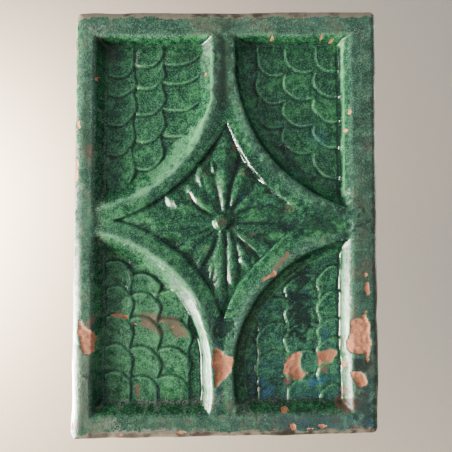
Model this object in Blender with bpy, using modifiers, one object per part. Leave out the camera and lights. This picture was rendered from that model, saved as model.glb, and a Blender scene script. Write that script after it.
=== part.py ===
"""Relief stove tile: a pressed leaf and the collar behind it, luted and fired as one clay body.

Everything is in metres. The tile stands upright, as it does in a stove's wall: X runs to the
right, Z runs up, and the relief faces -Y. The origin is the middle of the leaf's flat back,
inside the collar, which is the face that the stove's clay packing bears on.
"""

import math
from typing import NamedTuple

import bmesh
import bpy
import numpy as np

# The leaf, which is the slab that carries the relief
LEAF_WIDTH = 0.190
LEAF_HEIGHT = 0.265
CORNER_RADIUS = 0.003
GRID_STEP = 0.0012
SOFT_PASSES = 1  # each pass spreads a step over about two more grid squares
KEPT_FACES = 0.11  # share of the grid's triangles that are kept

# Heights of the relief, measured from the leaf's flat back
FRAME_TOP = 0.018
RIB_CREST = 0.0176
RIB_INNER_EDGE = 0.0160
LOZENGE_FIELD = 0.0122
PANEL_FLOOR = 0.0088

# The frame round the relief
EDGE_ROUNDING = 0.004
FRAME_LEFT = -0.0815
FRAME_RIGHT = 0.0795
FRAME_TOP_LIP = 0.116
FRAME_BOTTOM_LIP = -0.118
FRAME_WALL = 0.0045  # run of the steep wall between the frame and a panel's floor

# The ribs between the four panels and the lozenge
RIB_STEP = 0.0018  # small sharp drop at a rib's lip
RIB_STEP_RUN = 0.0014
CAVETTO_RUN = 0.0105
RIB_TOP_START = 0.001  # the rib's top slopes to its inner edge between these two,
RIB_TOP_END = 0.011  # measured from its lip
LOZENGE_WALL = 0.0022
WORN_TIP_START = 0.034  # the lozenge's right tip is worn up to the ribs from here
WORN_TIP_END = 0.054

# The scales in the panels
SCALE_LIFT = 0.0013  # a scale's free end over the next scale
SCALE_TILT = 0.0009  # its free side over the next column
SCALE_RISE = 0.0085  # how far its end curves back on its free side
SCALE_LENGTH = 0.018  # a usual scale, from its root to its free end

# The rosette in the lozenge
LEAFLET_OUTLINE = 0.7  # under 1 fills a leaflet's outline out towards its two points
LEAFLET_SPINE = 0.4  # under 1 keeps its spine high for most of its length
LEAST_WIDTH = 1e-6
BOSS_CENTRE = (-0.002, -0.0005)
BOSS_RADIUS = 0.0058
BOSS_HEIGHT = 0.0045

# The collar at the back
COLLAR_INSET = 0.009
COLLAR_DEPTH = 0.055
COLLAR_WALL = 0.009
COLLAR_CORNER = 0.015
COLLAR_ROUNDING = 0.0015
LUTING_OVERLAP = 0.003  # how far the collar's root is sunk in the leaf

GLAZE_COLOUR = (0.020, 0.085, 0.035, 1.0)
GLAZE_ROUGHNESS = 0.22


class Arc(NamedTuple):
    """A circle that bounds a rib, in the leaf's plane."""

    x: float
    z: float
    radius: float

    def outside(self, x, z):
        """Returns how far each point lies outside the circle."""
        return np.hypot(x - self.x, z - self.z) - self.radius


class Panel(NamedTuple):
    """A corner panel: its side of the tile, the ribs' arcs round it, and its scales.

    A column runs from one entry of column_edges to the next, going from the frame to the
    tile's centreline, and ends has the distance of each scale's end from the tile's middle.
    """

    side_x: int
    side_z: int
    lip: Arc
    lozenge: Arc
    straight_lip: float
    column_edges: tuple
    ends: tuple


class Leaflet(NamedTuple):
    """A lobe of the rosette, from its root to its tip."""

    root: tuple
    tip: tuple
    half_width: float
    belly: float  # where along its length it is widest, from 0 to 1
    height: float


PANELS = (
    Panel(
        side_x=-1,
        side_z=1,
        lip=Arc(-0.0950, 0.1002, 0.0891),
        lozenge=Arc(-0.1104, 0.1184, 0.1234),
        straight_lip=0.0093,
        column_edges=(0.0760, 0.0588, 0.0402, 0.0150),
        ends=(
            (0.0929, 0.0805, 0.0619, 0.0429, 0.0207),
            (0.1001, 0.0857, 0.0686, 0.0511, 0.0336),
            (0.1011, 0.0888, 0.0712, 0.0547),
        ),
    ),
    Panel(
        side_x=1,
        side_z=1,
        lip=Arc(0.1055, 0.1038, 0.1010),
        lozenge=Arc(0.1027, 0.1007, 0.1089),
        straight_lip=0.0050,
        column_edges=(0.0760, 0.0572, 0.0376, 0.0196),
        ends=(
            (0.0960, 0.0795, 0.0630, 0.0465, 0.0269),
            (0.0960, 0.0774, 0.0599, 0.0424, 0.0269),
            (0.0939, 0.0759, 0.0594, 0.0470),
        ),
    ),
    Panel(
        side_x=-1,
        side_z=-1,
        lip=Arc(-0.0958, -0.0963, 0.0884),
        lozenge=Arc(-0.0899, -0.0899, 0.0923),
        straight_lip=0.0080,
        column_edges=(0.0760, 0.0593, 0.0418, 0.0225),
        ends=(
            (0.0937, 0.0762, 0.0577, 0.0396, 0.0231),
            (0.0968, 0.0783, 0.0597, 0.0442, 0.0319),
            (0.0968, 0.0793, 0.0613, 0.0432),
        ),
    ),
    Panel(
        side_x=1,
        side_z=-1,
        lip=Arc(0.0897, -0.0957, 0.0853),
        lozenge=Arc(0.0977, -0.0951, 0.1038),
        straight_lip=0.0045,
        column_edges=(0.0760, 0.0593, 0.0387, 0.0206),
        ends=(
            (0.1040, 0.0880, 0.0741, 0.0628, 0.0453, 0.0288),
            (0.0999, 0.0824, 0.0649, 0.0494, 0.0339),
            (0.0999, 0.0824, 0.0649, 0.0494),
        ),
    ),
)

ROSETTE = (
    # up and down
    Leaflet((-0.0015, 0.004), (-0.0012, 0.034), 0.0032, 0.60, 0.0026),
    Leaflet((-0.0025, 0.020), (0.0000, 0.059), 0.0085, 0.48, 0.0032),
    Leaflet((-0.0025, -0.004), (-0.0050, -0.042), 0.0055, 0.68, 0.0030),
    Leaflet((-0.0035, -0.030), (-0.0010, -0.058), 0.0042, 0.45, 0.0028),
    Leaflet((0.0015, -0.004), (0.0045, -0.039), 0.0034, 0.70, 0.0026),
    # left and right
    Leaflet((-0.006, 0.001), (-0.040, 0.012), 0.0060, 0.72, 0.0030),
    Leaflet((-0.026, 0.004), (-0.066, 0.003), 0.0070, 0.36, 0.0030),
    Leaflet((-0.007, -0.002), (-0.036, -0.007), 0.0045, 0.64, 0.0027),
    Leaflet((-0.030, -0.002), (-0.056, -0.004), 0.0042, 0.55, 0.0025),
    Leaflet((0.004, 0.002), (0.037, 0.006), 0.0058, 0.62, 0.0028),
    Leaflet((0.004, -0.003), (0.036, -0.008), 0.0055, 0.62, 0.0028),
    # between them
    Leaflet((-0.005, 0.004), (-0.024, 0.024), 0.0062, 0.58, 0.0032),
    Leaflet((-0.007, 0.010), (-0.018, 0.033), 0.0045, 0.66, 0.0028),
    Leaflet((0.002, 0.005), (0.0085, 0.031), 0.0040, 0.56, 0.0028),
    Leaflet((0.003, 0.003), (0.020, 0.017), 0.0036, 0.60, 0.0026),
    Leaflet((0.014, 0.010), (0.032, 0.018), 0.0038, 0.55, 0.0020),
    Leaflet((-0.006, -0.004), (-0.022, -0.018), 0.0046, 0.58, 0.0030),
    Leaflet((-0.008, -0.010), (-0.018, -0.029), 0.0042, 0.70, 0.0027),
    Leaflet((-0.018, -0.010), (-0.030, -0.016), 0.0036, 0.55, 0.0022),
    Leaflet((0.003, -0.004), (0.023, -0.021), 0.0040, 0.62, 0.0028),
    Leaflet((0.007, -0.014), (0.013, -0.030), 0.0044, 0.60, 0.0024),
)


def clear_scene():
    """Removes every object that the file opened with."""
    for item in list(bpy.data.objects):
        bpy.data.objects.remove(item, do_unlink=True)


def new_collection(name):
    """Makes a collection in the scene."""
    collection = bpy.data.collections.new(name)
    bpy.context.scene.collection.children.link(collection)
    return collection


def glazed_clay():
    """Makes the green lead glaze over terracotta."""
    material = bpy.data.materials.new("green_glaze")
    material.use_nodes = True
    shader = material.node_tree.nodes["Principled BSDF"]
    shader.inputs["Base Color"].default_value = GLAZE_COLOUR
    shader.inputs["Roughness"].default_value = GLAZE_ROUGHNESS
    shader.inputs["Metallic"].default_value = 0.0
    return material


def ease(value, start, end):
    """Rises smoothly from 0 at start to 1 at end."""
    t = np.clip((value - start) / (end - start), 0.0, 1.0)
    return t * t * (3.0 - 2.0 * t)


def frame_wall(x, z):
    """Height of the frame and of the steep wall down to the panels."""
    inside = np.minimum(
        np.minimum(x - FRAME_LEFT, FRAME_RIGHT - x),
        np.minimum(FRAME_TOP_LIP - z, z - FRAME_BOTTOM_LIP),
    )
    fall = ease(inside, 0.0, FRAME_WALL)
    return FRAME_TOP + (PANEL_FLOOR - FRAME_TOP) * fall


def rib_side(x, z):
    """Height of the ribs' panel side: a sharp lip, then a cavetto down to the floor."""
    inside = np.full(x.shape, -1.0)
    for panel in PANELS:
        straight = panel.side_x * x - panel.straight_lip
        inside = np.maximum(inside, np.minimum(-panel.lip.outside(x, z), straight))
    step = RIB_STEP * ease(inside, 0.0, RIB_STEP_RUN)
    hollow = np.clip((inside - RIB_STEP_RUN) / CAVETTO_RUN, 0.0, 1.0)
    foot = RIB_CREST - RIB_STEP - PANEL_FLOOR
    return RIB_CREST - step - foot * (1.0 - (1.0 - hollow) ** 2)


def scales(panel, x, z):
    """Height of a panel's overlapping scales over its floor."""
    across = -panel.side_x * x
    down = -panel.side_z * z
    raised = np.zeros(x.shape)
    for n, ends in enumerate(panel.ends):
        start, stop = -panel.column_edges[n], -panel.column_edges[n + 1]
        share = (across - start) / (stop - start)
        column = (share >= 0.0) & (share < 1.0)
        back = SCALE_RISE * np.clip(share, 0.0, 1.0) ** 3
        for far, near in reversed(tuple(zip((ends[0] + SCALE_LENGTH, *ends), ends))):
            end = -near - back
            on_scale = column & (down < end)
            along = np.clip((end - down) / (far - near), 0.0, 1.0)
            lift = SCALE_LIFT * (1.0 - along) + SCALE_TILT * np.clip(share, 0.0, 1.0) ** 2
            raised = np.where(on_scale, lift, raised)
    return raised


def leaflet(shape, x, z):
    """Height of one leaflet over the lozenge's field."""
    run = np.subtract(shape.tip, shape.root)
    length = math.hypot(*run)
    east, up = run / length
    along = ((x - shape.root[0]) * east + (z - shape.root[1]) * up) / length
    side = (z - shape.root[1]) * east - (x - shape.root[0]) * up
    power = math.log(0.5) / math.log(shape.belly)
    swell = np.clip(np.sin(math.pi * np.clip(along, 0.0, 1.0) ** power), 0.0, 1.0)
    width = np.maximum(shape.half_width * swell**LEAFLET_OUTLINE, LEAST_WIDTH)
    dome = np.sqrt(np.clip(1.0 - (side / width) ** 2, 0.0, 1.0))
    return shape.height * dome * swell**LEAFLET_SPINE


def lozenge(x, z):
    """Height of the ribs' tops and of the lozenge between them, with its rosette."""
    inside = np.min([panel.lozenge.outside(x, z) for panel in PANELS], axis=0)
    from_lip = np.min([panel.lip.outside(x, z) for panel in PANELS], axis=0)
    rib_top = RIB_CREST - (RIB_CREST - RIB_INNER_EDGE) * ease(from_lip, RIB_TOP_START, RIB_TOP_END)
    leaves = np.max([leaflet(shape, x, z) for shape in ROSETTE], axis=0)
    reach = np.hypot(x - BOSS_CENTRE[0], z - BOSS_CENTRE[1]) / BOSS_RADIUS
    boss = BOSS_HEIGHT * np.sqrt(np.clip(1.0 - reach**2, 0.0, 1.0))
    field = LOZENGE_FIELD + np.maximum(leaves, boss)
    worn = ease(x, WORN_TIP_START, WORN_TIP_END)
    field = field + (RIB_INNER_EDGE - field) * worn
    fall = ease(inside, 0.0, LOZENGE_WALL)
    return rib_top + (np.minimum(field, rib_top) - rib_top) * fall


def outer_rounding(x, z):
    """How far the frame's outer edge is rounded down at each point."""
    inward = np.minimum(LEAF_WIDTH / 2 - np.abs(x), LEAF_HEIGHT / 2 - np.abs(z))
    short = np.clip(EDGE_ROUNDING - inward, 0.0, EDGE_ROUNDING)
    return EDGE_ROUNDING - np.sqrt(EDGE_ROUNDING**2 - short**2)


def relief(x, z):
    """Height of the leaf's face over its back."""
    panels = np.zeros(x.shape)
    for panel in PANELS:
        corner = (panel.side_x * x > 0.0) & (panel.side_z * z > 0.0)
        panels = np.where(corner, PANEL_FLOOR + scales(panel, x, z), panels)
    walls = np.maximum(frame_wall(x, z), np.minimum(rib_side(x, z), lozenge(x, z)))
    return np.maximum(panels, walls)


def softened(height, passes):
    """Rounds every step of a grid of heights a little, as pressing into a mould does."""
    for _ in range(passes):
        for axis in (0, 1):
            before = np.roll(height, 1, axis)
            after = np.roll(height, -1, axis)
            height = (before + 2.0 * height + after) / 4.0
    return height


def round_corner(x, z):
    """Moves the square grid's corners in to the leaf's rounded ones."""
    past_x = np.abs(x) - (LEAF_WIDTH / 2 - CORNER_RADIUS)
    past_z = np.abs(z) - (LEAF_HEIGHT / 2 - CORNER_RADIUS)
    corner = (past_x > 0.0) & (past_z > 0.0)
    length = np.where(corner, np.hypot(past_x, past_z), 1.0)
    pull = 1.0 - np.where(corner, np.maximum(past_x, past_z) / length, 1.0)
    return x - np.sign(x) * past_x * pull, z - np.sign(z) * past_z * pull


def leaf_mesh():
    """Builds the leaf: a grid raised to the relief, with straight edges and a flat back."""
    columns = round(LEAF_WIDTH / GRID_STEP)
    rows = round(LEAF_HEIGHT / GRID_STEP)
    bm = bmesh.new()
    bmesh.ops.create_grid(bm, x_segments=columns, y_segments=rows, size=0.5)
    bmesh.ops.scale(bm, vec=(LEAF_WIDTH, LEAF_HEIGHT, 1.0), verts=bm.verts)
    flat = np.array([vert.co for vert in bm.verts])
    x, z = flat[:, 0], flat[:, 1]
    raised = relief(x, z).reshape(-1, columns + 1)
    height = softened(raised, SOFT_PASSES).ravel() - outer_rounding(x, z)
    for vert, place in zip(bm.verts, zip(*round_corner(x, z), height)):
        vert.co = (place[0], -place[2], place[1])
    rim = [edge for edge in bm.edges if edge.is_boundary]
    pulled = bmesh.ops.extrude_edge_only(bm, edges=rim)["geom"]
    for vert in (item for item in pulled if isinstance(item, bmesh.types.BMVert)):
        vert.co.y = 0.0
    back = [edge for edge in pulled if isinstance(edge, bmesh.types.BMEdge) and edge.is_boundary]
    bmesh.ops.contextual_create(bm, geom=back)
    bmesh.ops.recalc_face_normals(bm, faces=bm.faces)
    mesh = bpy.data.meshes.new("leaf")
    bm.to_mesh(mesh)
    bm.free()
    return mesh


def collar_mesh():
    """Builds the collar's outer wall as an open band, for Solidify to thicken inwards."""
    bm = bmesh.new()
    bmesh.ops.create_grid(bm, x_segments=1, y_segments=1, size=0.5)
    width = LEAF_WIDTH - 2 * COLLAR_INSET
    height = LEAF_HEIGHT - 2 * COLLAR_INSET
    bmesh.ops.scale(bm, vec=(width, height, 1.0), verts=bm.verts)
    bmesh.ops.bevel(
        bm,
        geom=list(bm.verts),
        affect="VERTICES",
        offset=COLLAR_CORNER,
        segments=4,
        profile=0.5,
        material=-1,
    )
    for vert in bm.verts:
        vert.co = (vert.co.x, -LUTING_OVERLAP, vert.co.y)
    outline = list(bm.edges)
    wall = bmesh.ops.extrude_edge_only(bm, edges=outline)["geom"]
    lifted = [item for item in wall if isinstance(item, bmesh.types.BMVert)]
    bmesh.ops.translate(bm, vec=(0.0, LUTING_OVERLAP + COLLAR_DEPTH, 0.0), verts=lifted)
    cap = [face for face in bm.faces if len(face.verts) > 4]
    bmesh.ops.delete(bm, geom=cap, context="FACES_ONLY")
    bmesh.ops.recalc_face_normals(bm, faces=bm.faces)
    mesh = bpy.data.meshes.new("collar")
    bm.to_mesh(mesh)
    bm.free()
    return mesh


def make_collar(collection):
    """Makes the collar, which a Boolean then joins to the leaf."""
    collar = bpy.data.objects.new("collar", collar_mesh())
    collection.objects.link(collar)
    thick = collar.modifiers.new("wall", "SOLIDIFY")
    thick.thickness = COLLAR_WALL
    thick.offset = -1.0
    thick.use_even_offset = True
    soft = collar.modifiers.new("worn_rim", "BEVEL")
    soft.width = COLLAR_ROUNDING
    soft.segments = 1
    soft.limit_method = "ANGLE"
    soft.angle_limit = math.radians(60.0)
    collar.hide_render = True
    collar.display_type = "WIRE"
    return collar


def make_tile(collection, collar):
    """Makes the tile: the thinned leaf with the collar luted on."""
    tile = bpy.data.objects.new("stove_tile", leaf_mesh())
    tile.data.materials.append(glazed_clay())
    collection.objects.link(tile)
    thinned = tile.modifiers.new("thinned", "DECIMATE")
    thinned.ratio = KEPT_FACES
    luted = tile.modifiers.new("luted_collar", "BOOLEAN")
    luted.operation = "UNION"
    luted.solver = "EXACT"
    luted.object = collar
    return tile


def main():
    """Builds the stove tile."""
    clear_scene()
    part = new_collection("relief_stove_tile")
    cutters = new_collection("joined_pieces")
    make_tile(part, make_collar(cutters))


main()
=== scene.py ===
"""Relief stove tile: green lead glaze over a pressed terracotta leaf, with its collar behind.

The leaf's relief is built as one field of heights from the forms that a carver of the mould
would name (frame, ribs, scales, rosette), then worn, chipped and glazed, with light, shade and
blue reflections painted into the glaze in places. Lengths are in millimetres until a mesh is
made. X runs to the right, Z up, and the relief faces -Y.
"""

import logging
import math
from dataclasses import dataclass
from enum import Enum

import bmesh
import bpy
import numpy as np
from bmesh.types import BMEdge, BMesh, BMVert
from bpy.types import NodeSocket as Socket
from bpy.types import NodeTree, Object
from mathutils import Euler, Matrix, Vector


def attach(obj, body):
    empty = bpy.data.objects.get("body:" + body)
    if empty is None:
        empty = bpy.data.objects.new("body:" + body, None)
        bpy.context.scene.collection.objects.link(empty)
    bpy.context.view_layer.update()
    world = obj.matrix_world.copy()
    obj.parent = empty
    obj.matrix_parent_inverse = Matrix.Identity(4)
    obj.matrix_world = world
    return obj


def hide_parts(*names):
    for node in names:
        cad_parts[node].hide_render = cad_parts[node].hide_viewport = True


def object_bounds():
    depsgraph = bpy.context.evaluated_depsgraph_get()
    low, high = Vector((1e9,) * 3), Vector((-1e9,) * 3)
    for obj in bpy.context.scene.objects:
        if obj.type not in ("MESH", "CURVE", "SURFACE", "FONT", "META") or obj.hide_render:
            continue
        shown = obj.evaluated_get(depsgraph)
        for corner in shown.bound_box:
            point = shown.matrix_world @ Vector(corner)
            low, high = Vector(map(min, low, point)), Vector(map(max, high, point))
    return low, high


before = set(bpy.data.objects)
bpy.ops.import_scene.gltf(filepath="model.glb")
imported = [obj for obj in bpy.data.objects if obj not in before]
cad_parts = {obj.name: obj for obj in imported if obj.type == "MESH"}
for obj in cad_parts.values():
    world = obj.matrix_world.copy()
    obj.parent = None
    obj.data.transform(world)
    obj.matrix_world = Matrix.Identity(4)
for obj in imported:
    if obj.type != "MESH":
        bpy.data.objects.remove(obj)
CAD_LOW, CAD_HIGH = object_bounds()
LOG = logging.getLogger("stove_tile")
Array = np.ndarray

MM = 0.001
COLLAR_INSET = 9.0
SPECK_CORNERS = 6
SPECK_TURN = 20.0
SPECK_DEPTH = 0.4
NODE = "stove_tile"


class Mask(Enum):
    """Names of the attributes that tell the glaze how the clay beneath it was treated, and where light,
    shade and blue reflections are painted on it.
    """

    BARE = "bare"  # millimetres inside a chip, less than zero outside
    POOL_AND_SHADE = "pool"  # how far a point lies in a hollow, where the glaze pooled, plus painted shade in creases, under the right-hand lips and over the right half
    CREST_AND_LIGHT = "crest"  # how far it stands proud, where the glaze ran thin, plus painted light on lit shoulders and slopes, most on the left
    RUBBED = "rubbed"  # wear along the outer edges
    STAIN = "stain"  # thin, brownish glaze that shows the clay
    GRIME_AND_SHADE = "grime"  # soot and dirt, plus painted shade: a line along the top edge, the right side darker, a crescent on the boss's right
    HAZE_AND_LIGHT = "haze"  # pale film, where the glaze has gone dull, plus painted light along the left outer edge and the left inner wall
    BLOOM = "bloom"  # painted blue reflections: spots where a bluish light would glint on the glaze


class Corner(Enum):
    """The four panels, by their side of the tile: the signs of X and Z."""

    TOP_LEFT = (-1, 1)
    TOP_RIGHT = (1, 1)
    BOTTOM_LEFT = (-1, -1)
    BOTTOM_RIGHT = (1, -1)


def ease(value: Array, start: float, end: float) -> Array:
    """Rises smoothly from 0 to 1.

    Args:
        value: The values to look at.
        start: Where the rise begins.
        end: Where it ends.

    Returns:
        The share of the rise reached at each value.
    """
    t = np.clip((value - start) / (end - start), 0.0, 1.0)
    return t * t * (3.0 - 2.0 * t)


def between(values: Array, i: Array, j: Array, s: Array, t: Array) -> Array:
    """Blends the values at a grid's corners.

    Args:
        values: The grid's values, by column and row.
        i: The column before each place.
        j: The row before it.
        s: How far the place is on the way to the next column, from 0 to 1.
        t: How far it is on the way to the next row.

    Returns:
        The blended value at each place.
    """
    low = values[i, j] * (1.0 - s) + values[i + 1, j] * s
    high = values[i, j + 1] * (1.0 - s) + values[i + 1, j + 1] * s
    return low * (1.0 - t) + high * t


@dataclass(frozen=True)
class Unevenness:
    """A soft random field over the leaf, the same on every run."""

    cell: float
    seed: int
    reach: float = 160.0

    def at(self, x: Array, z: Array) -> Array:
        """Reads the field.

        Args:
            x: Places across the leaf.
            z: Places up the leaf.

        Returns:
            Values from -1 to 1 that change over about one cell.
        """
        count = int(2 * self.reach / self.cell) + 3
        values = np.random.default_rng(self.seed).uniform(-1.0, 1.0, (count, count))
        u = (x + self.reach) / self.cell
        v = (z + self.reach) / self.cell
        i, j = np.floor(u).astype(int), np.floor(v).astype(int)
        return between(values, i, j, ease(u - i, 0.0, 1.0), ease(v - j, 0.0, 1.0))


def uneven(x: Array, z: Array, waves: tuple) -> Array:
    """Adds up soft random fields.

    Args:
        x: Places across the leaf.
        z: Places up the leaf.
        waves: The height, the cell and the seed of each field.

    Returns:
        Their sum at each place.
    """
    return sum(height * Unevenness(cell, seed).at(x, z) for height, cell, seed in waves)


def ridge(value: Array, at: float, width: float) -> Array:
    """A soft line that is 1 where the value is at its middle and fades on both sides."""
    return np.exp(-(((value - at) / width) ** 2))


@dataclass(frozen=True)
class Arc:
    """A circle that bounds a rib."""

    x: float
    z: float
    radius: float

    def outside(self, x: Array, z: Array) -> Array:
        """Distance outside the circle, less than zero inside it."""
        return np.hypot(x - self.x, z - self.z) - self.radius


def distance(points: tuple, x: Array, z: Array) -> Array:
    """Measures how far places are from a line drawn through a few points.

    Args:
        points: The line's points.
        x: Places across the leaf.
        z: Places up the leaf.

    Returns:
        The distance to the nearest part of the line.
    """
    nearest = np.full(x.shape, np.inf)
    for (ax, az), (bx, bz) in zip(points, points[1:]):
        run_x, run_z = bx - ax, bz - az
        share = ((x - ax) * run_x + (z - az) * run_z) / (run_x**2 + run_z**2)
        share = np.clip(share, 0.0, 1.0)
        nearest = np.minimum(nearest, np.hypot(x - ax - share * run_x, z - az - share * run_z))
    return nearest


@dataclass(frozen=True)
class Outline:
    """A closed outline drawn on the leaf through a few points."""

    points: tuple
    reach: float = 6.0

    def depth(self, x: Array, z: Array) -> Array:
        """How far inside the outline each place is.

        Args:
            x: Places across the leaf.
            z: Places up the leaf.

        Returns:
            The distance to the outline, less than zero outside it, no lower than its reach.
        """
        low, high = np.min(self.points, axis=0), np.max(self.points, axis=0)
        gap_x = np.maximum(low[0] - x, x - high[0])
        close = np.maximum(gap_x, np.maximum(low[1] - z, z - high[1])) < self.reach
        depth = np.full(x.shape, -self.reach)
        x, z = x[close], z[close]
        closed = self.points + self.points[:1]
        inside = np.zeros(x.shape, bool)
        for (ax, az), (bx, bz) in zip(closed, closed[1:]):
            if az != bz:
                crosses = (az > z) != (bz > z)
                inside ^= crosses & (x < ax + (z - az) * (bx - ax) / (bz - az))
        depth[close] = distance(closed, x, z) * np.where(inside, 1.0, -1.0)
        return depth


@dataclass(frozen=True)
class Crease:
    """A line pressed into the leaves with a blunt tool."""

    points: tuple
    width: float
    depth: float

    def cut(self, x: Array, z: Array) -> Array:
        """How deep the line lies at each place."""
        return self.depth * ridge(distance(self.points, x, z), 0.0, self.width)


@dataclass(frozen=True)
class Border:
    """The plain frame round the relief, with its worn outer edge and steep inner walls."""

    top: float = 18.0
    floor: float = 8.8
    lips: tuple = (-81.5, 79.5, -118.0, 116.0)
    wall_runs: tuple = (5.4, 5.6, 3.2)
    lip_round: float = 1.2
    right_wall: tuple = ((0.7, 18.0), (1.4, 17.3), (2.3, 17.05), (5.7, 13.35), (6.1, 8.8))
    right_sway: tuple = ((0.25, 11.0, 96), (0.1, 3.7, 97))
    sway_starts: tuple = (0.5, 3.0)
    steeper: float = 0.2
    steeper_below: tuple = (80.0, 90.0)
    rounding_runs: tuple = (7.8, 4.5, 4.5, 5.0)
    rounding_drops: tuple = (4.9, 4.0, 4.0, 4.0)

    def height(self, x: Array, z: Array) -> Array:
        """Height of the frame and of its walls down to the floor of the panels.

        Args:
            x: Places across the leaf.
            z: Places up the leaf.

        Returns:
            The height. The right wall has a plain slope and ends in a small sharp step.
        """
        left, right, bottom, top = self.lips
        gaps = (x - left, z - bottom, top - z)
        start = -self.lip_round
        fall = np.min([ease(gap, start, run) for gap, run in zip(gaps, self.wall_runs)], axis=0)
        walls = self.top + (self.floor - self.top) * fall
        inward = (right - x) * (1.0 + self.steeper * ease(-z, *self.steeper_below))
        inward = inward + uneven(x, z, self.right_sway) * ease(inward, *self.sway_starts)
        return np.maximum(walls, np.interp(inward, *zip(*self.right_wall)))

    def inside(self, x: Array, z: Array) -> Array:
        """Distance inside the frame's inner lips."""
        left, right, bottom, top = self.lips
        return np.min((x - left, right - x, z - bottom, top - z), axis=0)

    def rounded_off(self, x: Array, z: Array, leaf: "Leaf") -> Array:
        """How far the outer edges are rounded down."""
        half_x, half_z = leaf.width / 2, leaf.height / 2
        inward = (half_x + x, half_x - x, half_z + z, half_z - z)
        drops = []
        for gap, run, drop in zip(inward, self.rounding_runs, self.rounding_drops):
            short = np.clip(1.0 - gap / run, 0.0, 1.0)
            drops.append(drop * (1.0 - np.sqrt(1.0 - short**2)))
        return np.max(drops, axis=0)


@dataclass(frozen=True)
class Panel:
    """A panel of scales in one corner, with the rib that bounds it.

    Columns of scales run from one entry of column_edges to the next, going from the frame
    to the tile's centreline. ends has, for each column, the distance of each scale's free
    end from the tile's middle.
    """

    corner: Corner
    lip: Arc
    lozenge: Arc
    straight_lip: float
    column_edges: tuple
    ends: tuple
    lift: float
    tilt: float
    sharp: float
    bevelled: bool = False
    length: float = 18.0
    sway: float = 0.5
    sway_cell: float = 14.0
    bulge: float = 1.0
    widest: float = 0.65
    crown: float = 1.4
    gutter: float = 0.25
    gutter_width: float = 3.2
    near_corner: tuple = (0.35, 1.6)
    far_corner: tuple = (0.4, 10.0)

    def inside_lip(self, x: Array, z: Array) -> Array:
        """Distance inside the rib's lip on the panel's side."""
        side_x, _ = self.corner.value
        return np.minimum(-self.lip.outside(x, z), side_x * x - self.straight_lip)

    def scales(self, x: Array, z: Array) -> Array:
        """Height of the overlapping scales over the panel's floor.

        Args:
            x: Places across the leaf.
            z: Places up the leaf.

        Returns:
            The height, which is highest along each scale's two free edges.
        """
        side_x, side_z = self.corner.value
        sway = self.sway * Unevenness(self.sway_cell, 11 + side_x + 3 * side_z).at(x, z)
        across, out = -side_x * x + sway, side_z * z + sway
        raised = np.zeros(x.shape)
        start = np.full(x.shape, -self.column_edges[0])
        for edge, ends in zip(self.column_edges[1:], self.ends):
            count = np.interp(out, ends[::-1], np.arange(len(ends)))
            stop = self.bulge * np.cos(2 * math.pi * (count - self.widest)) - edge
            share = np.clip((across - start) / (stop - start), 0.0, 1.0)
            in_column = (across >= start) & (across < stop)
            back = self.rounded_end(share)
            for far, near in reversed(tuple(zip((ends[0] + self.length, *ends), ends))):
                behind = out - near - back
                along = np.clip(behind / (far - near), 0.0, 1.0)
                height = self.lift * (1.0 - along) + self.tilt * share**self.crown
                raised = np.where(in_column & (behind > 0.0), height, raised)
            beside = 1.0 - np.clip((across - start) / self.gutter_width, 0.0, 1.0)
            first = edge == self.column_edges[1]
            raised = raised - self.gutter * (not first) * in_column * beside
            start = stop
        return raised

    def rounded_end(self, share: Array) -> Array:
        """How far a scale's free end draws back across its column.

        Args:
            share: Places across the column, from 0 to 1 at the free side.

        Returns:
            The distance, most at the free side.
        """
        (near_end, near_drop), (far_start, far_drop) = self.near_corner, self.far_corner
        near = np.clip(1.0 - share / near_end, 0.0, 1.0)
        far = np.clip((share - far_start) / (1.0 - far_start), 0.0, 1.0)
        return near_drop * near**2 + far_drop * (1.0 - np.sqrt(1.0 - far**2))


@dataclass(frozen=True)
class Ribs:
    """The four curved ribs: a crest, a cavetto to the panels, a small wall to the lozenge."""

    crest: float = 17.6
    inner_edge: float = 16.0
    step: float = 1.9
    step_run: float = 1.3
    cavetto_run: float = 10.5
    hollowness: float = 1.75
    rounded_run: tuple = (-5.5, 10.5)
    bevel: tuple = ((0.4, 0.0), (4.9, 0.52), (6.6, 1.0))
    bevel_step: float = 0.2
    top_slope: tuple = (1.0, 11.0)

    def panel_side(self, inside: Array, floor: float, sharp: Array, bevelled: Array) -> Array:
        """Height of the lip and the hollow slope below it.

        Args:
            inside: Distance inside the lip.
            floor: Height of the panels' floor.
            sharp: How sharp the lip is, from 0 where it is rounded over to 1.
            bevelled: Where a plain bevel with a steep foot takes the hollow's place.

        Returns:
            The height, which is the crest's outside the lip.
        """
        step = self.step * sharp * np.where(bevelled, self.bevel_step, 1.0)
        share = np.clip((inside - self.step_run) / self.cavetto_run, 0.0, 1.0)
        hollow = 1.0 - (1.0 - share) ** self.hollowness
        hollow = np.where(bevelled, np.interp(inside, *zip(*self.bevel)), hollow)
        rounded = ease(inside, *self.rounded_run)
        fall = rounded + (hollow - rounded) * sharp
        lip = self.crest - step * ease(inside, 0.0, self.step_run)
        return lip - (self.crest - step - floor) * fall

    def top(self, from_lip: Array) -> Array:
        """Height of the ribs' tops, which slope down towards the lozenge."""
        return self.crest - (self.crest - self.inner_edge) * ease(from_lip, *self.top_slope)


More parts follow.
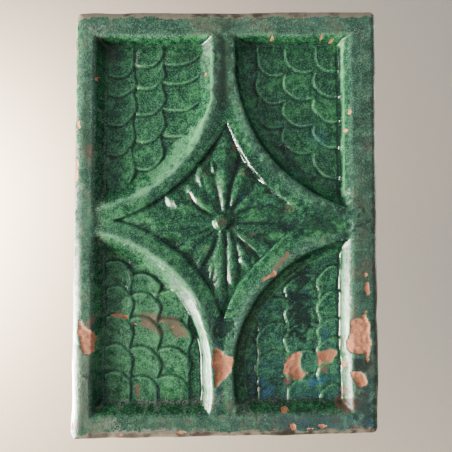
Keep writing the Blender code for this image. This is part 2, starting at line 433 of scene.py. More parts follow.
@dataclass(frozen=True)
class Leaflet:
    """A lobe of the rosette. Its belly says where between root and tip it is widest."""

    root: tuple
    tip: tuple
    half_width: float
    belly: float
    height: float
    bend: float = 0.0
    section: float = 1.5
    plan: float = 0.7
    profile: float = 0.4

    def raised(self, x: Array, z: Array) -> Array:
        """Height of the leaflet over the lozenge's field.

        Args:
            x: Places across the leaf.
            z: Places up the leaf.

        Returns:
            The height of its rounded body.
        """
        run_x, run_z = self.tip[0] - self.root[0], self.tip[1] - self.root[1]
        length = math.hypot(run_x, run_z)
        east, up = run_x / length, run_z / length
        along = ((x - self.root[0]) * east + (z - self.root[1]) * up) / length
        side = (z - self.root[1]) * east - (x - self.root[0]) * up
        inside = np.clip(along, 0.0, 1.0)
        side = side - self.bend * 4.0 * inside * (1.0 - inside)
        power = math.log(0.5) / math.log(self.belly)
        swell = np.clip(np.sin(math.pi * inside**power), 0.0, 1.0)
        width = np.maximum(self.half_width * swell**self.plan, 1e-3)
        share = np.clip(np.abs(side) / width, 0.0, 1.0)
        return self.height * ((1.0 - share**self.section) * swell**self.profile)


def curls(*rows: tuple) -> tuple:
    """Makes the leaves' curled edges.

    Args:
        rows: Each edge's root, its tip, half its width and its height.

    Returns:
        The edges as thin, even leaflets.
    """
    return tuple(Leaflet(root, tip, half, 0.5, high, section=1.7) for root, tip, half, high in rows)


@dataclass(frozen=True)
class Rosette:
    """The leaf rosette in the lozenge, with its boss."""

    field: float = 12.4
    wall: tuple = ((0.0, 0.0), (0.8, 0.85), (1.7, 9.0))
    boss_place: tuple = (-2.0, -0.5)
    boss_radius: float = 5.8
    boss_height: float = 4.2
    boss_shape: tuple = (2.6, 0.7)
    worn_tip: tuple = (36.0, 54.0)
    leaflets: tuple = (
        # up and down
        Leaflet((-0.5, 3), (0, 65), 9.6, 0.6, 3.2),
        Leaflet((-2.5, -3), (-3.5, -41), 7.4, 0.62, 2.3, bend=-0.6),
        Leaflet((-4, -24), (-3, -60), 5.6, 0.52, 2.1),
        Leaflet((1.5, -3), (5, -42), 5.6, 0.64, 2.3, bend=0.6),
        # left and right
        Leaflet((-5, 1.5), (-70, 2), 9.2, 0.56, 2.8, bend=0.4),
        Leaflet((-8, 3), (-38, 17), 7.4, 0.7, 2.6, bend=0.8),
        Leaflet((-7, -2), (-51, -7.5), 6.6, 0.66, 2.4, bend=0.5),
        Leaflet((4, 2.5), (54, 7), 9.6, 0.64, 2.4, section=1.6),
        Leaflet((4, -3), (52, -8), 8.6, 0.62, 2.4, section=1.6),
        # between them
        Leaflet((-5, 5), (-25, 24), 8.4, 0.56, 2.9, bend=0.6, section=1.6),
        Leaflet((-3, 7), (-18, 37), 7.4, 0.66, 2.4, bend=-0.6),
        Leaflet((2.5, 5), (15, 37), 7.8, 0.6, 2.5, bend=0.8),
        Leaflet((4, 4), (28, 25), 6.8, 0.64, 2.2),
        Leaflet((10, 8), (42, 18), 6, 0.6, 1.9),
        Leaflet((-6, -4), (-32, -18), 7.6, 0.62, 2.4),
        Leaflet((-4.5, -6), (-20.5, -32), 7.2, 0.66, 2, bend=0.6),
        Leaflet((3.5, -4), (36, -23), 8.6, 0.6, 2.3, bend=-0.4),
        Leaflet((4, -7), (19, -34), 6.6, 0.66, 2.1),
        Leaflet((8.5, -21), (13.5, -28), 3.6, 0.5, 2.8, section=2),
        *curls(
            ((-7, 30), (-9.4, 39), 1.4, 3.9), ((-29.5, 7.5), (-33.8, 16.5), 1.1, 3.3),
            ((-15, 20), (-17.6, 32), 1.3, 2.9), ((-8.8, -25), (-10, -38), 1, 2.6),
            ((-6.4, -41), (-5.7, -51), 1, 2.8), ((-15.4, -17), (-17.5, -30), 1.2, 2.6),
            ((-22.3, -12), (-20.8, -18), 1.1, 2.9), ((-26, -6.2), (-29.8, -9), 1.2, 3),
            ((7, -8.8), (22, -20.3), 0.9, 2.5), ((-7.6, 10.2), (-10, 11.6), 1, 3.2),
        ),
    )
    creases: tuple = (
        Crease(((9.5, 41), (5.6, 30), (2.6, 20), (1.8, 9)), 1.3, 1.7),
        Crease(((-8.2, 29), (-5.6, 20), (-4.6, 10)), 1.2, 0.7),
        Crease(((-23, 17.5), (-20, 12), (-15, 7.5), (-9, 4)), 1.1, 1.5),
        Crease(((-54, -1.6), (-30, -0.2), (-16, 0.8)), 0.8, 0.8),
        Crease(((-42, -5.2), (-28, -4.4), (-14, -3)), 1, 0.9),
        Crease(((-30, -16), (-22, -9), (-10, -4.4)), 0.9, 1.1),
        Crease(((-20, -16), (-13, -10.5), (-7, -6)), 0.9, 0.7),
        Crease(((-13.5, -27), (-8.4, -18), (-5.8, -9)), 1.6, 1.6),
        Crease(((1, -44), (0.2, -30), (-0.2, -18), (0.2, -8)), 1, 1.1),
        Crease(((-7.5, -38), (-3, -33.5)), 0.7, 0.8),
        Crease(((9, -34), (7.2, -22), (4.8, -9)), 1, 0.8),
        Crease(((15.2, -21), (16.4, -31)), 1.1, 0.8),
        Crease(((7, -11), (14, -16.2), (21, -22.6)), 1.1, 1.5),
        Crease(((7, -1.4), (20, -1.3), (31, -1.8)), 0.8, 0.9),
        Crease(((6, 3.4), (14, 8), (24, 10)), 0.8, 0.7),
        Crease(((4.2, 8.6), (10, 14.2), (16.5, 19.5)), 1.5, 1.4),
        Crease(((15, 19), (20.5, 28)), 1, 0.8),
        Crease(((24, -10.5), (31, -17)), 0.8, 0.7),
        Crease(((35, -3), (42, -5.5)), 2, 1.3),
        Crease(((21, -8.5), (26, -8.5)), 1.6, 0.8),
        Crease(((22, 8.5), (29, 10.5)), 1.6, 0.7),
        Crease(((33, 6), (36, 7)), 2, 1),
    )
    heart: tuple = (3.0, 14.0)
    heart_depth: float = 0.12
    crumple: tuple = ((0.16, 4.5, 61),)
    blend: float = 0.35
    cut: float = 0.5

    def creased(self, x: Array, z: Array) -> Array:
        """How strongly each place is creased."""
        return np.max([crease.cut(x, z) for crease in self.creases], axis=0)

    def height(self, x: Array, z: Array, worn_to: float) -> Array:
        """Height of the lozenge's field with the rosette on it.

        Args:
            x: Places across the leaf.
            z: Places up the leaf.
            worn_to: Height that the right tip is worn and filled up to.

        Returns:
            The height over the leaf's back.
        """
        shapes = np.exp([leaflet.raised(x, z) / self.blend for leaflet in self.leaflets])
        leaves = self.blend * np.log(np.sum(shapes, axis=0) - len(self.leaflets) + 1.0)
        leaves = leaves + uneven(x, z, self.crumple) - self.cut * self.creased(x, z)
        reach = np.hypot(x - self.boss_place[0], z - self.boss_place[1]) / self.boss_radius
        in_heart = 1.0 - ease(reach * self.boss_radius, *self.heart)
        leaves = leaves * (1.0 - self.heart_depth * in_heart)
        flat, steep = self.boss_shape
        boss = self.boss_height * np.clip(1.0 - reach**flat, 0.0, 1.0) ** steep
        level = self.field + np.maximum(np.maximum(leaves, boss), 0.0)
        return level + (worn_to - level) * ease(x, *self.worn_tip)


@dataclass(frozen=True)
class Chip:
    """A place where the glaze has flaked off and the clay shows."""

    outline: Outline
    depth: float

    @classmethod
    def drawn(cls, depth: float, *corners: tuple) -> "Chip":
        """Makes a chip from its depth and the corners of its outline."""
        return cls(Outline(corners), depth)


def specks(*rows: tuple) -> tuple:
    """Makes small chips.

    Args:
        rows: Each chip's X and Z, half its width and half its height.

    Returns:
        Chips with a few straight sides, which the wear makes ragged.
    """
    step = 360.0 / SPECK_CORNERS
    turns = [math.radians(step * n + SPECK_TURN) for n in range(SPECK_CORNERS)]
    made = []
    for x, z, half_width, half_height in rows:
        ring = [(x + half_width * math.cos(a), z + half_height * math.sin(a)) for a in turns]
        made.append(Chip.drawn(SPECK_DEPTH, *ring))
    return tuple(made)


@dataclass(frozen=True)
class Patch:
    """A soft-edged oval: dirt, thin glaze that has discoloured, painted light and shade, and painted
    blue reflections.
    """

    x: float
    z: float
    half_width: float
    half_height: float
    strength: float
    turn: float = 0.0
    softness: float = 0.5

    def cover(self, x: Array, z: Array, ragged: Array) -> Array:
        """How strongly the patch covers each place.

        Args:
            x: Places across the leaf.
            z: Places up the leaf.
            ragged: What breaks up its edge.

        Returns:
            Values from 0 to its strength.
        """
        angle = math.radians(self.turn)
        along = (x - self.x) * math.cos(angle) + (z - self.z) * math.sin(angle)
        across = (z - self.z) * math.cos(angle) - (x - self.x) * math.sin(angle)
        reach = np.hypot(along / self.half_width, across / self.half_height)
        return self.strength * ease(1.0 - reach + ragged, 0.0, self.softness)


def ovals(*rows: tuple) -> tuple:
    """Makes a patch of each row: X, Z, half width, half height, strength and turn."""
    return tuple(Patch(*row) for row in rows)


@dataclass(frozen=True)
class Wear:
    """Chips, rubbed edges, stains and grime, as the tile's long use left them, with patches of painted
    light, shade and blue reflection.

    The band worn along each side is given for the top, the bottom, the left and the right.
    """

    chips: tuple = (
        Chip.drawn(
            0.9, (87, -57), (88.3, -65.7), (89.6, -76.3), (88, -82), (87.4, -87.2), (85.2, -82.6),
            (76.5, -82), (74.8, -75), (77.2, -68.2), (78.4, -62.4), (83.4, -60.8),
        ),
        Chip.drawn(
            0.8, (77.6, -94), (82, -93.6), (86.2, -96), (87.2, -99.3), (85.4, -102.6),
            (82, -103.4), (79.2, -100.2),
        ),
        Chip.drawn(
            0.9, (-7, -77.4), (-4, -78.4), (-1, -82), (4.6, -83.2), (4.4, -89.5), (2, -94),
            (-5.4, -101.5), (-6.8, -93), (-8, -87),
        ),
        Chip.drawn(
            0.6, (-90, -59.4), (-88.2, -59.6), (-86.2, -63.6), (-80.4, -66.8), (-80, -72),
            (-80.6, -79.6), (-86.4, -80.2), (-88.6, -75), (-90.4, -68),
        ),
        Chip.drawn(
            0.8, (46, -82.4), (48.6, -84), (47.8, -89.4), (48.6, -94.4), (52, -97), (49.4, -100.2),
            (43.6, -101.2), (40.2, -97.8), (37.2, -96.8), (37.2, -91), (40.2, -86),
        ),
        Chip.drawn(
            0.7, (58.6, -84.2), (66.9, -81.8), (71, -82.8), (70.6, -86), (66.6, -91), (62, -90.2),
            (59.6, -92), (58.6, -87.6),
        ),
        Chip.drawn(0.5, (22, -37.8), (25, -33.5), (29.5, -31.2), (31.2, -33.5), (26, -37)),
        Chip.drawn(0.4, (-73, -57.6), (-68.5, -56.6), (-62.5, -59), (-62, -61), (-71, -59.2)),
        *specks(
            (87.5, -43.5, 1.5, 4.4), (86.5, -34, 1.2, 1.2), (74.8, -92, 0.8, 2.6),
            (-81, 91, 1, 1.9), (-91.4, 61, 1.4, 2.1), (-92.6, 34, 0.9, 8), (-13, 94, 1.1, 1.7),
            (-20.4, 94.8, 2, 0.9), (29.6, 115.8, 1.6, 1), (34.6, 119.4, 0.7, 0.9),
            (60.2, 115.8, 0.9, 1.2), (69, 115.4, 2.4, 0.9), (75.6, 56.4, 1.3, 1.6),
            (77.6, 68, 0.8, 1.5), (36.6, -116.6, 3.4, 1.7), (41.2, -126, 2.2, 1.7),
            (52, -127.6, 3.6, 1), (59, -126.2, 3.4, 1.3), (-93, -124, 1, 4.4),
            (-64, -129.2, 3, 0.7), (-30, -128.4, 6.5, 0.5), (-8, -129, 3, 0.5),
            (29, -127.6, 5, 0.4), (-57, -64, 1.2, 0.7), (-34, -66.5, 1.4, 0.6),
        ),
    )
    patches: tuple = (
        (
            # pooled glaze, and painted shade: patches over the right half where less light falls, and a
            # shadow line under the lower right rib
            Mask.POOL_AND_SHADE,
            ovals(
                (47.5, -55, 9.5, 30, 0.9), (-2, -66, 8, 12, 0.9), (0, 90, 9, 34, 0.4),
                (38, 62, 30, 26, 0.15), (58, 0, 30, 12, 0.7), (27, -104, 18, 8, 0.5),
                (0, 44, 12, 20, 0.45), (26, 0, 30, 20, 0.4), (24, 30, 26, 10, 0.55, -45),
                (40, 34, 40, 9, 0.3, -50), (87, 20, 8, 110, 0.18), (50, -124, 45, 8, 0.3),
                (76, 55, 6, 64, 0.35), (60, -19.8, 17, 1.9, 1.3, 24), (12, -86, 3.4, 26, 0.4),
                (-9.5, -80, 1.6, 30, 0.5, 10),
            ),
        ),
        (
            # thin glaze, and painted light: lighter patches, most over the left panels, ribs and edge,
            # where the light falls
            Mask.CREST_AND_LIGHT,
            ovals(
                (-48, -70, 42, 56, 0.36), (-64, -2, 30, 14, 0.34), (-88, -80, 8, 50, 0.3),
                (-40, -30, 34, 9, 0.34, -42), (-4, -32, 12, 24, 0.25), (-34, 40, 38, 8, 0.55, 48),
                (-50, 70, 34, 50, 0.2), (52, -70, 26, 40, 0.22), (-69, -84, 6, 30, 0.5),
            ),
        ),
        (
            Mask.STAIN,
            ovals(
                (-47, -65, 9, 4.4, 1, -32), (-30.5, -66.5, 9, 5, 1, -38), (-55, -105, 1.4, 4.2, 1),
                (35.5, -24.5, 8.5, 2.6, 0.9, 42), (-84, 46, 2.4, 6, 0.6), (-13, 31, 3, 4, 0.3),
                (62.5, -95, 3.6, 3, 0.9), (39, -100.8, 3.4, 3.2, 0.9), (74.5, -107.5, 2.6, 3.4, 1),
                (75, -113.5, 7.5, 6, 1.2), (-41, -61, 15, 3, 0.7, -14),
                (-83, -61.5, 3.6, 4.6, 0.9), (81, -127, 3.4, 2.2, 0.9),
                (17, -8, 1.6, 9, 0.32, -60), (-1.4, -1.2, 4.6, 4.4, 0.4),
                (13, 30, 6, 2.6, 0.35, -20), (5.5, 45, 1.6, 6, 0.8, 12),
                (-22, 15.5, 5, 1.4, 0.5, -35), (-13, -18, 5, 3, 0.28, 50), (5, -36, 1.8, 4, 0.4),
                (41, 7, 5, 4, 0.35, -30), (13, -16, 8, 1.2, 0.45, -40),
            ),
        ),
        (
            # soot and dirt, with painted shade: a shadow line along the top edge, darker down the right
            # side, and a crescent on the boss's right
            Mask.GRIME_AND_SHADE,
            ovals(
                (93.6, 0, 3.6, 180, 0.8), (84, -89, 6.4, 5.8, 1), (-93, -76.5, 4, 1.6, 1.1, 12),
                (-92, -125, 5, 7, 1), (-84, -95, 4.5, 20, 0.6), (13, -70, 4, 24, 0.4, -12),
                (76, -112.5, 6, 4.5, 0.9), (87, -95, 9, 36, 0.5), (86, -114, 10, 20, 0.8),
                (44, -124, 46, 7, 0.4), (3, -112, 6, 7, 0.8), (-2, 94, 7, 34, 0.55),
                (-86.5, 60, 3.4, 36, 0.5), (-86, -105, 5, 12, 0.5), (-1, 122, 7, 6, 0.5),
                (-76, 110, 7, 8, 0.6), (50, -131.5, 46, 2.6, 1), (-82, -112, 8, 7, 0.5),
                (-30, -113, 48, 3, 0.3), (40, -113, 36, 3, 0.4), (74.2, -46, 0.9, 1.3, 0.8),
                (76, -57, 0.7, 1.6, 0.8), (73.6, -77, 1.2, 3, 0.9), (75.4, -83.5, 1.5, 1.3, 0.9),
                (74.6, -94, 1, 2, 0.8), (-25, 104, 9, 5, 0.4, 20), (87, -10, 7, 110, 0.42),
                (-40, -123, 50, 7, 0.22), (13, 33, 8, 4, 0.4, -30), (4.4, 0, 1.8, 6, 0.9),
                (0, 132.5, 96, 1.6, 0.9),
            ),
        ),
        (
            # dull film, and painted light along the left outer edge and on the left inner wall
            Mask.HAZE_AND_LIGHT,
            ovals(
                (-81, 121, 11, 6, 0.5), (73.5, -115, 7, 6, 0.5), (-67, -123, 10, 4.5, 0.5),
                (-86.5, -98, 5, 26, 0.5), (-4, -109, 6, 9, 0.5, 20), (8, -114, 9, 4, 0.5, -20),
                (-73, 108, 4, 9, 0.4), (-57, 105, 2, 6, 0.5), (-37, 105, 2, 6, 0.4),
                (-20, -117, 60, 1.6, 0.3), (-45, -127.5, 36, 2, 0.8), (-30, -113.5, 48, 3.4, 0.54),
                (40, -113.5, 30, 3, 0.35), (84, 116, 7, 6, 0.35), (-78.5, 0, 4, 112, 0.4),
                (30, 124, 40, 4, 0.3), (-85, 115, 1, 1, 1), (-94, 30, 2.4, 120, 0.85),
            ),
        ),
        (
            # painted blue reflections, as spots on the glaze
            Mask.BLOOM,
            ovals(
                (22, -89, 3.4, 2.4, 0.8, 30), (24, -101.5, 5.6, 3.4, 1, 20),
                (46, -99, 2.6, 2.2, 0.9), (59, -101.5, 7, 3, 1, 25), (63.5, -72, 3.6, 4.6, 0.8),
                (59, -20.5, 4.4, 2, 0.6), (88.5, -124.5, 3, 4, 1), (10.5, 16, 2.8, 2.2, 1, 30),
                (60, 54, 9, 9, 0.4), (44, 28, 8, 5, 0.35), (56, 127, 5, 2.6, 0.7),
            ),
        ),
    )
    worn_sides: tuple = (5.2, 5.0, 1.6, 2.2)
    worn_ragged: tuple = ((1.5, 8.0, 71), (0.8, 2.2, 72))
    worn_edge: tuple = (-0.5, 1.0)
    chip_ragged: tuple = ((0.9, 2.8, 5), (0.5, 1.2, 6))
    chip_floor: tuple = ((0.35, 1.7, 8),)
    chip_edge: tuple = (-0.1, 0.9)
    chip_reach: tuple = (-2.0, -0.5)
    farthest: float = 4.0
    patch_ragged: tuple = ((0.5, 3.0, 51), (0.4, 1.3, 52))

    def bare(self, x: Array, z: Array) -> Array:
        """How far inside a chip each place is, with ragged outlines."""
        depth = np.max([chip.outline.depth(x, z) for chip in self.chips], axis=0)
        return np.clip(depth + uneven(x, z, self.chip_ragged), -self.farthest, self.farthest)

    def lost(self, x: Array, z: Array, bare: Array) -> Array:
        """Finds the height that the chips took off.

        Args:
            x: Places across the leaf.
            z: Places up the leaf.
            bare: How far inside a chip each place is.

        Returns:
            The height, with a broken surface in the chips.
        """
        depths = np.zeros(x.shape)
        for chip in self.chips:
            near = ease(chip.outline.depth(x, z), *self.chip_reach)
            depths = np.maximum(depths, chip.depth * near)
        rough = 1.0 + uneven(x, z, self.chip_floor)
        return depths * rough * ease(bare, *self.chip_edge)

    def rubbed(self, x: Array, z: Array, leaf: "Leaf") -> Array:
        """How worn the glaze is along the leaf's outer edges.

        Args:
            x: Places across the leaf.
            z: Places up the leaf.
            leaf: The slab that carries the relief.

        Returns:
            Values from 0 to 1.
        """
        half_x, half_z = leaf.width / 2, leaf.height / 2
        inward = (half_z - z, half_z + z, half_x + x, half_x - x)
        band = np.max([worn - gap for worn, gap in zip(self.worn_sides, inward)], axis=0)
        return ease(band + uneven(x, z, self.worn_ragged), *self.worn_edge)

    def covered(self, x: Array, z: Array) -> dict:
        """Finds how strongly the patches cover each place.

        Args:
            x: Places across the leaf.
            z: Places up the leaf.

        Returns:
            The cover for each mask that has patches.
        """
        ragged = uneven(x, z, self.patch_ragged)
        return {
            mask: np.max([patch.cover(x, z, ragged) for patch in patches], axis=0)
            for mask, patches in self.patches
        }


PANELS = (
    Panel(
        corner=Corner.TOP_LEFT,
        lip=Arc(-95.0, 100.2, 89.1),
        lozenge=Arc(-110.4, 118.4, 123.4),
        straight_lip=9.3,
        column_edges=(76.0, 58.8, 40.2, 15.0),
        ends=(
            (92.9, 80.5, 61.9, 42.9, 20.7),
            (100.1, 85.7, 68.6, 51.1, 33.6),
            (101.1, 88.8, 71.2, 54.7),
        ),
        lift=1.3,
        tilt=0.9,
        sharp=0.15,
    ),
    Panel(
        corner=Corner.TOP_RIGHT,
        lip=Arc(105.5, 103.8, 101.0),
        lozenge=Arc(102.7, 100.7, 108.9),
        straight_lip=5.0,
        column_edges=(76.0, 57.2, 37.6, 19.6),
        ends=(
            (96.0, 79.5, 63.0, 46.5, 26.9),
            (96.0, 77.4, 59.9, 42.4, 26.9),
            (93.9, 75.9, 59.4, 47.0),
        ),
        lift=1.15,
        tilt=0.5,
        sharp=0.7,
    ),
    Panel(
        corner=Corner.BOTTOM_LEFT,
        lip=Arc(-95.8, -96.3, 88.4),
        lozenge=Arc(-89.9, -89.9, 92.3),
        straight_lip=8.0,
        column_edges=(76.0, 59.3, 41.8, 22.5),
        ends=(
            (93.7, 76.2, 57.7, 39.6, 23.1),
            (96.8, 78.3, 59.7, 44.2, 31.9),
            (96.8, 79.3, 61.3, 43.2),
        ),
        lift=1.3,
        tilt=0.9,
        sharp=0.15,
        bevelled=True,
    ),
    Panel(
        corner=Corner.BOTTOM_RIGHT,
        lip=Arc(89.7, -95.7, 85.3),
        lozenge=Arc(97.7, -95.1, 103.8),
        straight_lip=4.5,
        column_edges=(76.0, 59.3, 38.7, 20.6),
        ends=(
            (104.0, 88.0, 74.1, 62.8, 45.3, 28.8),
            (99.9, 82.4, 64.9, 49.4, 33.9),
            (99.9, 82.4, 64.9, 49.4),
        ),
        lift=0.8,
        tilt=0.7,
        sharp=0.7,
    ),
)


@dataclass(frozen=True)
class Survey:
    """Values on a fine square grid that covers the leaf from its middle out to its reach."""

    values: Array
    step: float
    reach: tuple

    def softened(self, radius: float) -> "Survey":
        """Spreads each value over its neighbours.

        Args:
            radius: How far the spread reaches, as a bell curve's standard deviation.

        Returns:
            The softened values on the same grid.
        """
        count = math.ceil(3.0 * radius / self.step)
        weights = np.exp(-0.5 * (np.arange(-count, count + 1) * self.step / radius) ** 2)
        weights /= weights.sum()
        values = self.values
        for _ in range(2):
            padded = np.pad(values, ((count, count), (0, 0)), mode="edge")
            rows = len(values)
            values = sum(w * padded[n : n + rows] for n, w in enumerate(weights)).T
        return Survey(values, self.step, self.reach)

    def at(self, x: Array, z: Array) -> Array:
        """Reads the values between the grid's places.

        Args:
            x: Places across the leaf.
            z: Places up the leaf.

        Returns:
            The values there.
        """
        rows, columns = self.values.shape
        u = np.clip((x + self.reach[0]) / self.step, 0.0, columns - 1.001)
        v = np.clip((z + self.reach[1]) / self.step, 0.0, rows - 1.001)
        i, j = u.astype(int), v.astype(int)
        return between(self.values.T, i, j, u - i, v - j)


@dataclass(frozen=True)
class Zones:
    """How much each place belongs to a part of the relief, from 0 to 1."""

    left: Array
    right: Array
    low: Array
    on_rib: Array
    off_wall: Array
    on_step: Array
    on_scales: Array
    in_rosette: Array
    inside_lip: Array  # millimetres, less than zero outside the panels

    @classmethod
    def found(cls, border: Border, x: Array, z: Array) -> "Zones":
        """Finds the zones.

        Args:
            border: The frame.
            x: Places across the leaf.
            z: Places up the leaf.

        Returns:
            The share of each zone at each place.
        """
        inward = border.inside(x, z)
        off_wall = ease(inward, 4.0, 9.0)
        to_lozenge = np.min([panel.lozenge.outside(x, z) for panel in PANELS], axis=0)
        inside_lip = np.max([panel.inside_lip(x, z) for panel in PANELS], axis=0)
        return cls(
            left=ease(-x, 0.0, 12.0),
            right=ease(x, 0.0, 8.0),
            low=ease(-z, 0.0, 9.0),
            on_rib=ease(inward, 2.0, 7.0),
            off_wall=off_wall,
            on_step=ease(to_lozenge, -3.0, -1.0) * ease(-to_lozenge, -3.0, -1.0),
            on_scales=ease(inside_lip, 8.0, 12.0) * off_wall,
            in_rosette=ease(to_lozenge, 0.5, 2.5),
            inside_lip=inside_lip,
        )


@dataclass(frozen=True)
class Flow:
    """How the molten glaze drew off edges and gathered in hollows, and where light and shade are painted
    over it.

    Where no comment says otherwise, a pair is the height over or under the surroundings where
    an effect begins and where it is full.
    """

    spreads: tuple = (0.7, 1.0, 2.4, 5.0)  # how far the surroundings reach, from near to wide
    edge: tuple = (0.03, 0.24)
    broad_edge: tuple = (0.4, 1.2)
    thin_and_lit_shoulder: tuple = (0.2, 0.7)
    hollow: tuple = (0.03, 0.42)
    basin: tuple = (0.6, 3.2)
    groove: float = 0.55
    shadow_under_lip: tuple = (1.9, 1.3)  # painted shadow under the right-hand lips: place inside the lip, and width
    lit_brink: tuple = (8.0, 0.6)  # the same
    lit_brink_share: float = 0.5
    lip_shadow_share: float = 0.7
    thin_and_lit_shoulder_shares: tuple = (0.15, 0.4)  # thin glaze everywhere, and painted light more at the left, where the light falls
    hollow_shares: tuple = (0.4, 0.5)  # everywhere, and more away from the walls
    basin_shares: tuple = (0.05, 0.15)  # the same
    spared_step: float = 0.75
    spared_scales: tuple = (0.1, 0.25)  # everywhere, and more at the left
    spared_rosette: float = 0.6
    spared_broad: float = 0.85
    shallow_rosette: float = 0.45
    shallow_scales: tuple = (0.17, 0.3)  # how much sooner a hollow is full, and how much less

    def thinned_and_lit(self, gaps: tuple, zones: Zones) -> Array:
        """Finds where the glaze is thin on edges and shoulders, and where light is painted: on the
        shoulders, more at the left, and as a line in the lower right panel.

        Args:
            gaps: How far the surroundings, from near to wide, stand over each place.
            zones: The parts of the relief.

        Returns:
            How thin it is, with the painted light, from 0 to about 1.
        """
        fine, _, middling, wide = gaps
        spared, more = self.spared_scales
        sharp = ease(-fine, *self.edge) * (1.0 - self.spared_step * zones.on_step)
        sharp = sharp * (1.0 - (spared + more * zones.left) * zones.on_scales)
        sharp = sharp * (1.0 - self.spared_rosette * zones.in_rosette)
        sharp = sharp * (1.0 - self.spared_broad * ease(-wide, *self.broad_edge))
        share, more = self.thin_and_lit_shoulder_shares
        thin_and_lit_shoulder = (share + more * zones.left) * ease(-middling, *self.thin_and_lit_shoulder)
        thin_and_lit_shoulder = thin_and_lit_shoulder * (1.0 - zones.on_step) * zones.on_rib
        thin_and_lit_shoulder = thin_and_lit_shoulder * (1.0 - zones.in_rosette) * (1.0 - zones.on_scales)
        lit_brink = self.lit_brink_share * ridge(zones.inside_lip, *self.lit_brink) * zones.right * zones.low
        return sharp + thin_and_lit_shoulder + lit_brink

    def pooled_and_shaded(self, gaps: tuple, zones: Zones, creased: Array) -> Array:
        """Finds where the glaze pooled thick in hollows and creases, with painted shade there and a
        painted shadow under the right-hand lips.

        Args:
            gaps: How far the surroundings, from near to wide, stand over each place.
            zones: The parts of the relief.
            creased: How strongly each place is creased.

        Returns:
            How thick it is, with the painted shade, from 0 to about 1.
        """
        _, near, _, wide = gaps
        (start, full), (sooner, less) = self.hollow, self.shallow_scales
        share, more = self.hollow_shares
        hollow = share + more * zones.off_wall - self.shallow_rosette * zones.in_rosette
        hollow = hollow * ease(near, start, full - sooner * zones.on_scales)
        hollow = np.minimum(hollow, 1.0 - less * zones.on_scales)
        share, more = self.basin_shares
        basin = (share + more * zones.off_wall) * ease(wide, *self.basin)
        groove = self.groove * creased * zones.in_rosette
        shadow_under_lip = self.lip_shadow_share * ridge(zones.inside_lip, *self.shadow_under_lip)
        return hollow + basin + groove + shadow_under_lip * zones.right * zones.off_wall


@dataclass(frozen=True)
class Relief:
    """The leaf's face as the mould, the potter's hand and long use left it."""

    border: Border = Border()
    ribs: Ribs = Ribs()
    rosette: Rosette = Rosette()
    wear: Wear = Wear()
    flow: Flow = Flow()
    step: float = 0.25
    margin: float = 3.0
    wander: tuple = (((0.5, 23.0, 31),), ((0.5, 23.0, 32),))
    crisp_lips: tuple = (45.0, 66.0)
    waviness: float = 0.22
    waves: tuple = ((1.0, 21.0, 41), (0.5, 8.0, 42), (0.35, 3.6, 43))
    pressing: float = 0.42

    def pressed(self, x: Array, z: Array) -> Array:
        """Height that the mould gave the face.

        Args:
            x: Places across the leaf.
            z: Places up the leaf.

        Returns:
            The height over the leaf's back, before the clay's edges softened.
        """
        x = x + uneven(x, z, self.wander[0])
        z = z + uneven(x, z, self.wander[1])
        floor = self.border.floor
        ground = np.zeros(x.shape)
        for panel in PANELS:
            side_x, side_z = panel.corner.value
            here = (side_x * x > 0.0) & (side_z * z > 0.0)
            ground = np.where(here, floor + panel.scales(x, z), ground)
        sides = [panel.inside_lip(x, z) for panel in PANELS]
        inside_lip, nearest = np.max(sides, axis=0), np.argmax(sides, axis=0)
        sharp = np.choose(nearest, [panel.sharp for panel in PANELS])
        sharp = sharp + (1.0 - sharp) * ease(np.abs(z), *self.crisp_lips)
        from_lip = np.min([panel.lip.outside(x, z) for panel in PANELS], axis=0)
        in_lozenge = np.min([panel.lozenge.outside(x, z) for panel in PANELS], axis=0)
        top = self.ribs.top(from_lip)
        sunk, within = top.copy(), in_lozenge > 0.0
        carved = self.rosette.height(x[within], z[within], self.ribs.inner_edge)
        sunk[within] = np.minimum(carved, top[within])
        lozenge = np.maximum(sunk, top - np.interp(in_lozenge, *zip(*self.rosette.wall)))
        bevelled = np.choose(nearest, [panel.bevelled for panel in PANELS])
        raised = np.minimum(self.ribs.panel_side(inside_lip, floor, sharp, bevelled), lozenge)
        return np.maximum(ground, np.maximum(raised, self.border.height(x, z)))

    def masks(self, leaf: "Leaf") -> tuple:
        """Works out the face's heights, how its glaze fared, and where light and shade are painted on
        it.

        Args:
            leaf: The slab that carries the relief.

        Returns:
            A survey of the heights, and a dict of a survey for each mask.
        """
        reach = (leaf.width / 2 + self.margin, leaf.height / 2 + self.margin)
        x, z = np.meshgrid(*(np.arange(-r, r + self.step / 2, self.step) for r in reach))
        heights = Survey(self.pressed(x, z), self.step, reach).softened(self.pressing)
        waves = self.waviness * uneven(x, z, self.waves)
        level = heights.values + waves - self.border.rounded_off(x, z, leaf)
        bare = self.wear.bare(x, z)
        worn = Survey(level - self.wear.lost(x, z, bare), self.step, reach)
        gaps = tuple(worn.softened(spread).values - level for spread in self.flow.spreads)
        zones, covered = Zones.found(self.border, x, z), self.wear.covered(x, z)
        pooled_and_shaded = self.flow.pooled_and_shaded(gaps, zones, self.rosette.creased(x, z))
        marks = {
            **covered,
            Mask.BARE: bare,
            Mask.POOL_AND_SHADE: pooled_and_shaded + covered[Mask.POOL_AND_SHADE],
            Mask.CREST_AND_LIGHT: self.flow.thinned_and_lit(gaps, zones) + covered[Mask.CREST_AND_LIGHT],
            Mask.RUBBED: self.wear.rubbed(x, z, leaf),
        }
        return worn, {mask: Survey(marks[mask], self.step, reach) for mask in Mask}


def shaped(bm: BMesh, name: str) -> Object:
    """Turns a finished bmesh into an object in the scene.

    Args:
        bm: The mesh, which is freed.
        name: The object's name.

    Returns:
        The object, smoothly shaded.
    """
    bmesh.ops.recalc_face_normals(bm, faces=bm.faces)
    mesh = bpy.data.meshes.new(name)
    bm.to_mesh(mesh)
    bm.free()
    mesh.shade_smooth()
    item = bpy.data.objects.new(name, mesh)
    bpy.context.collection.objects.link(item)
    return item


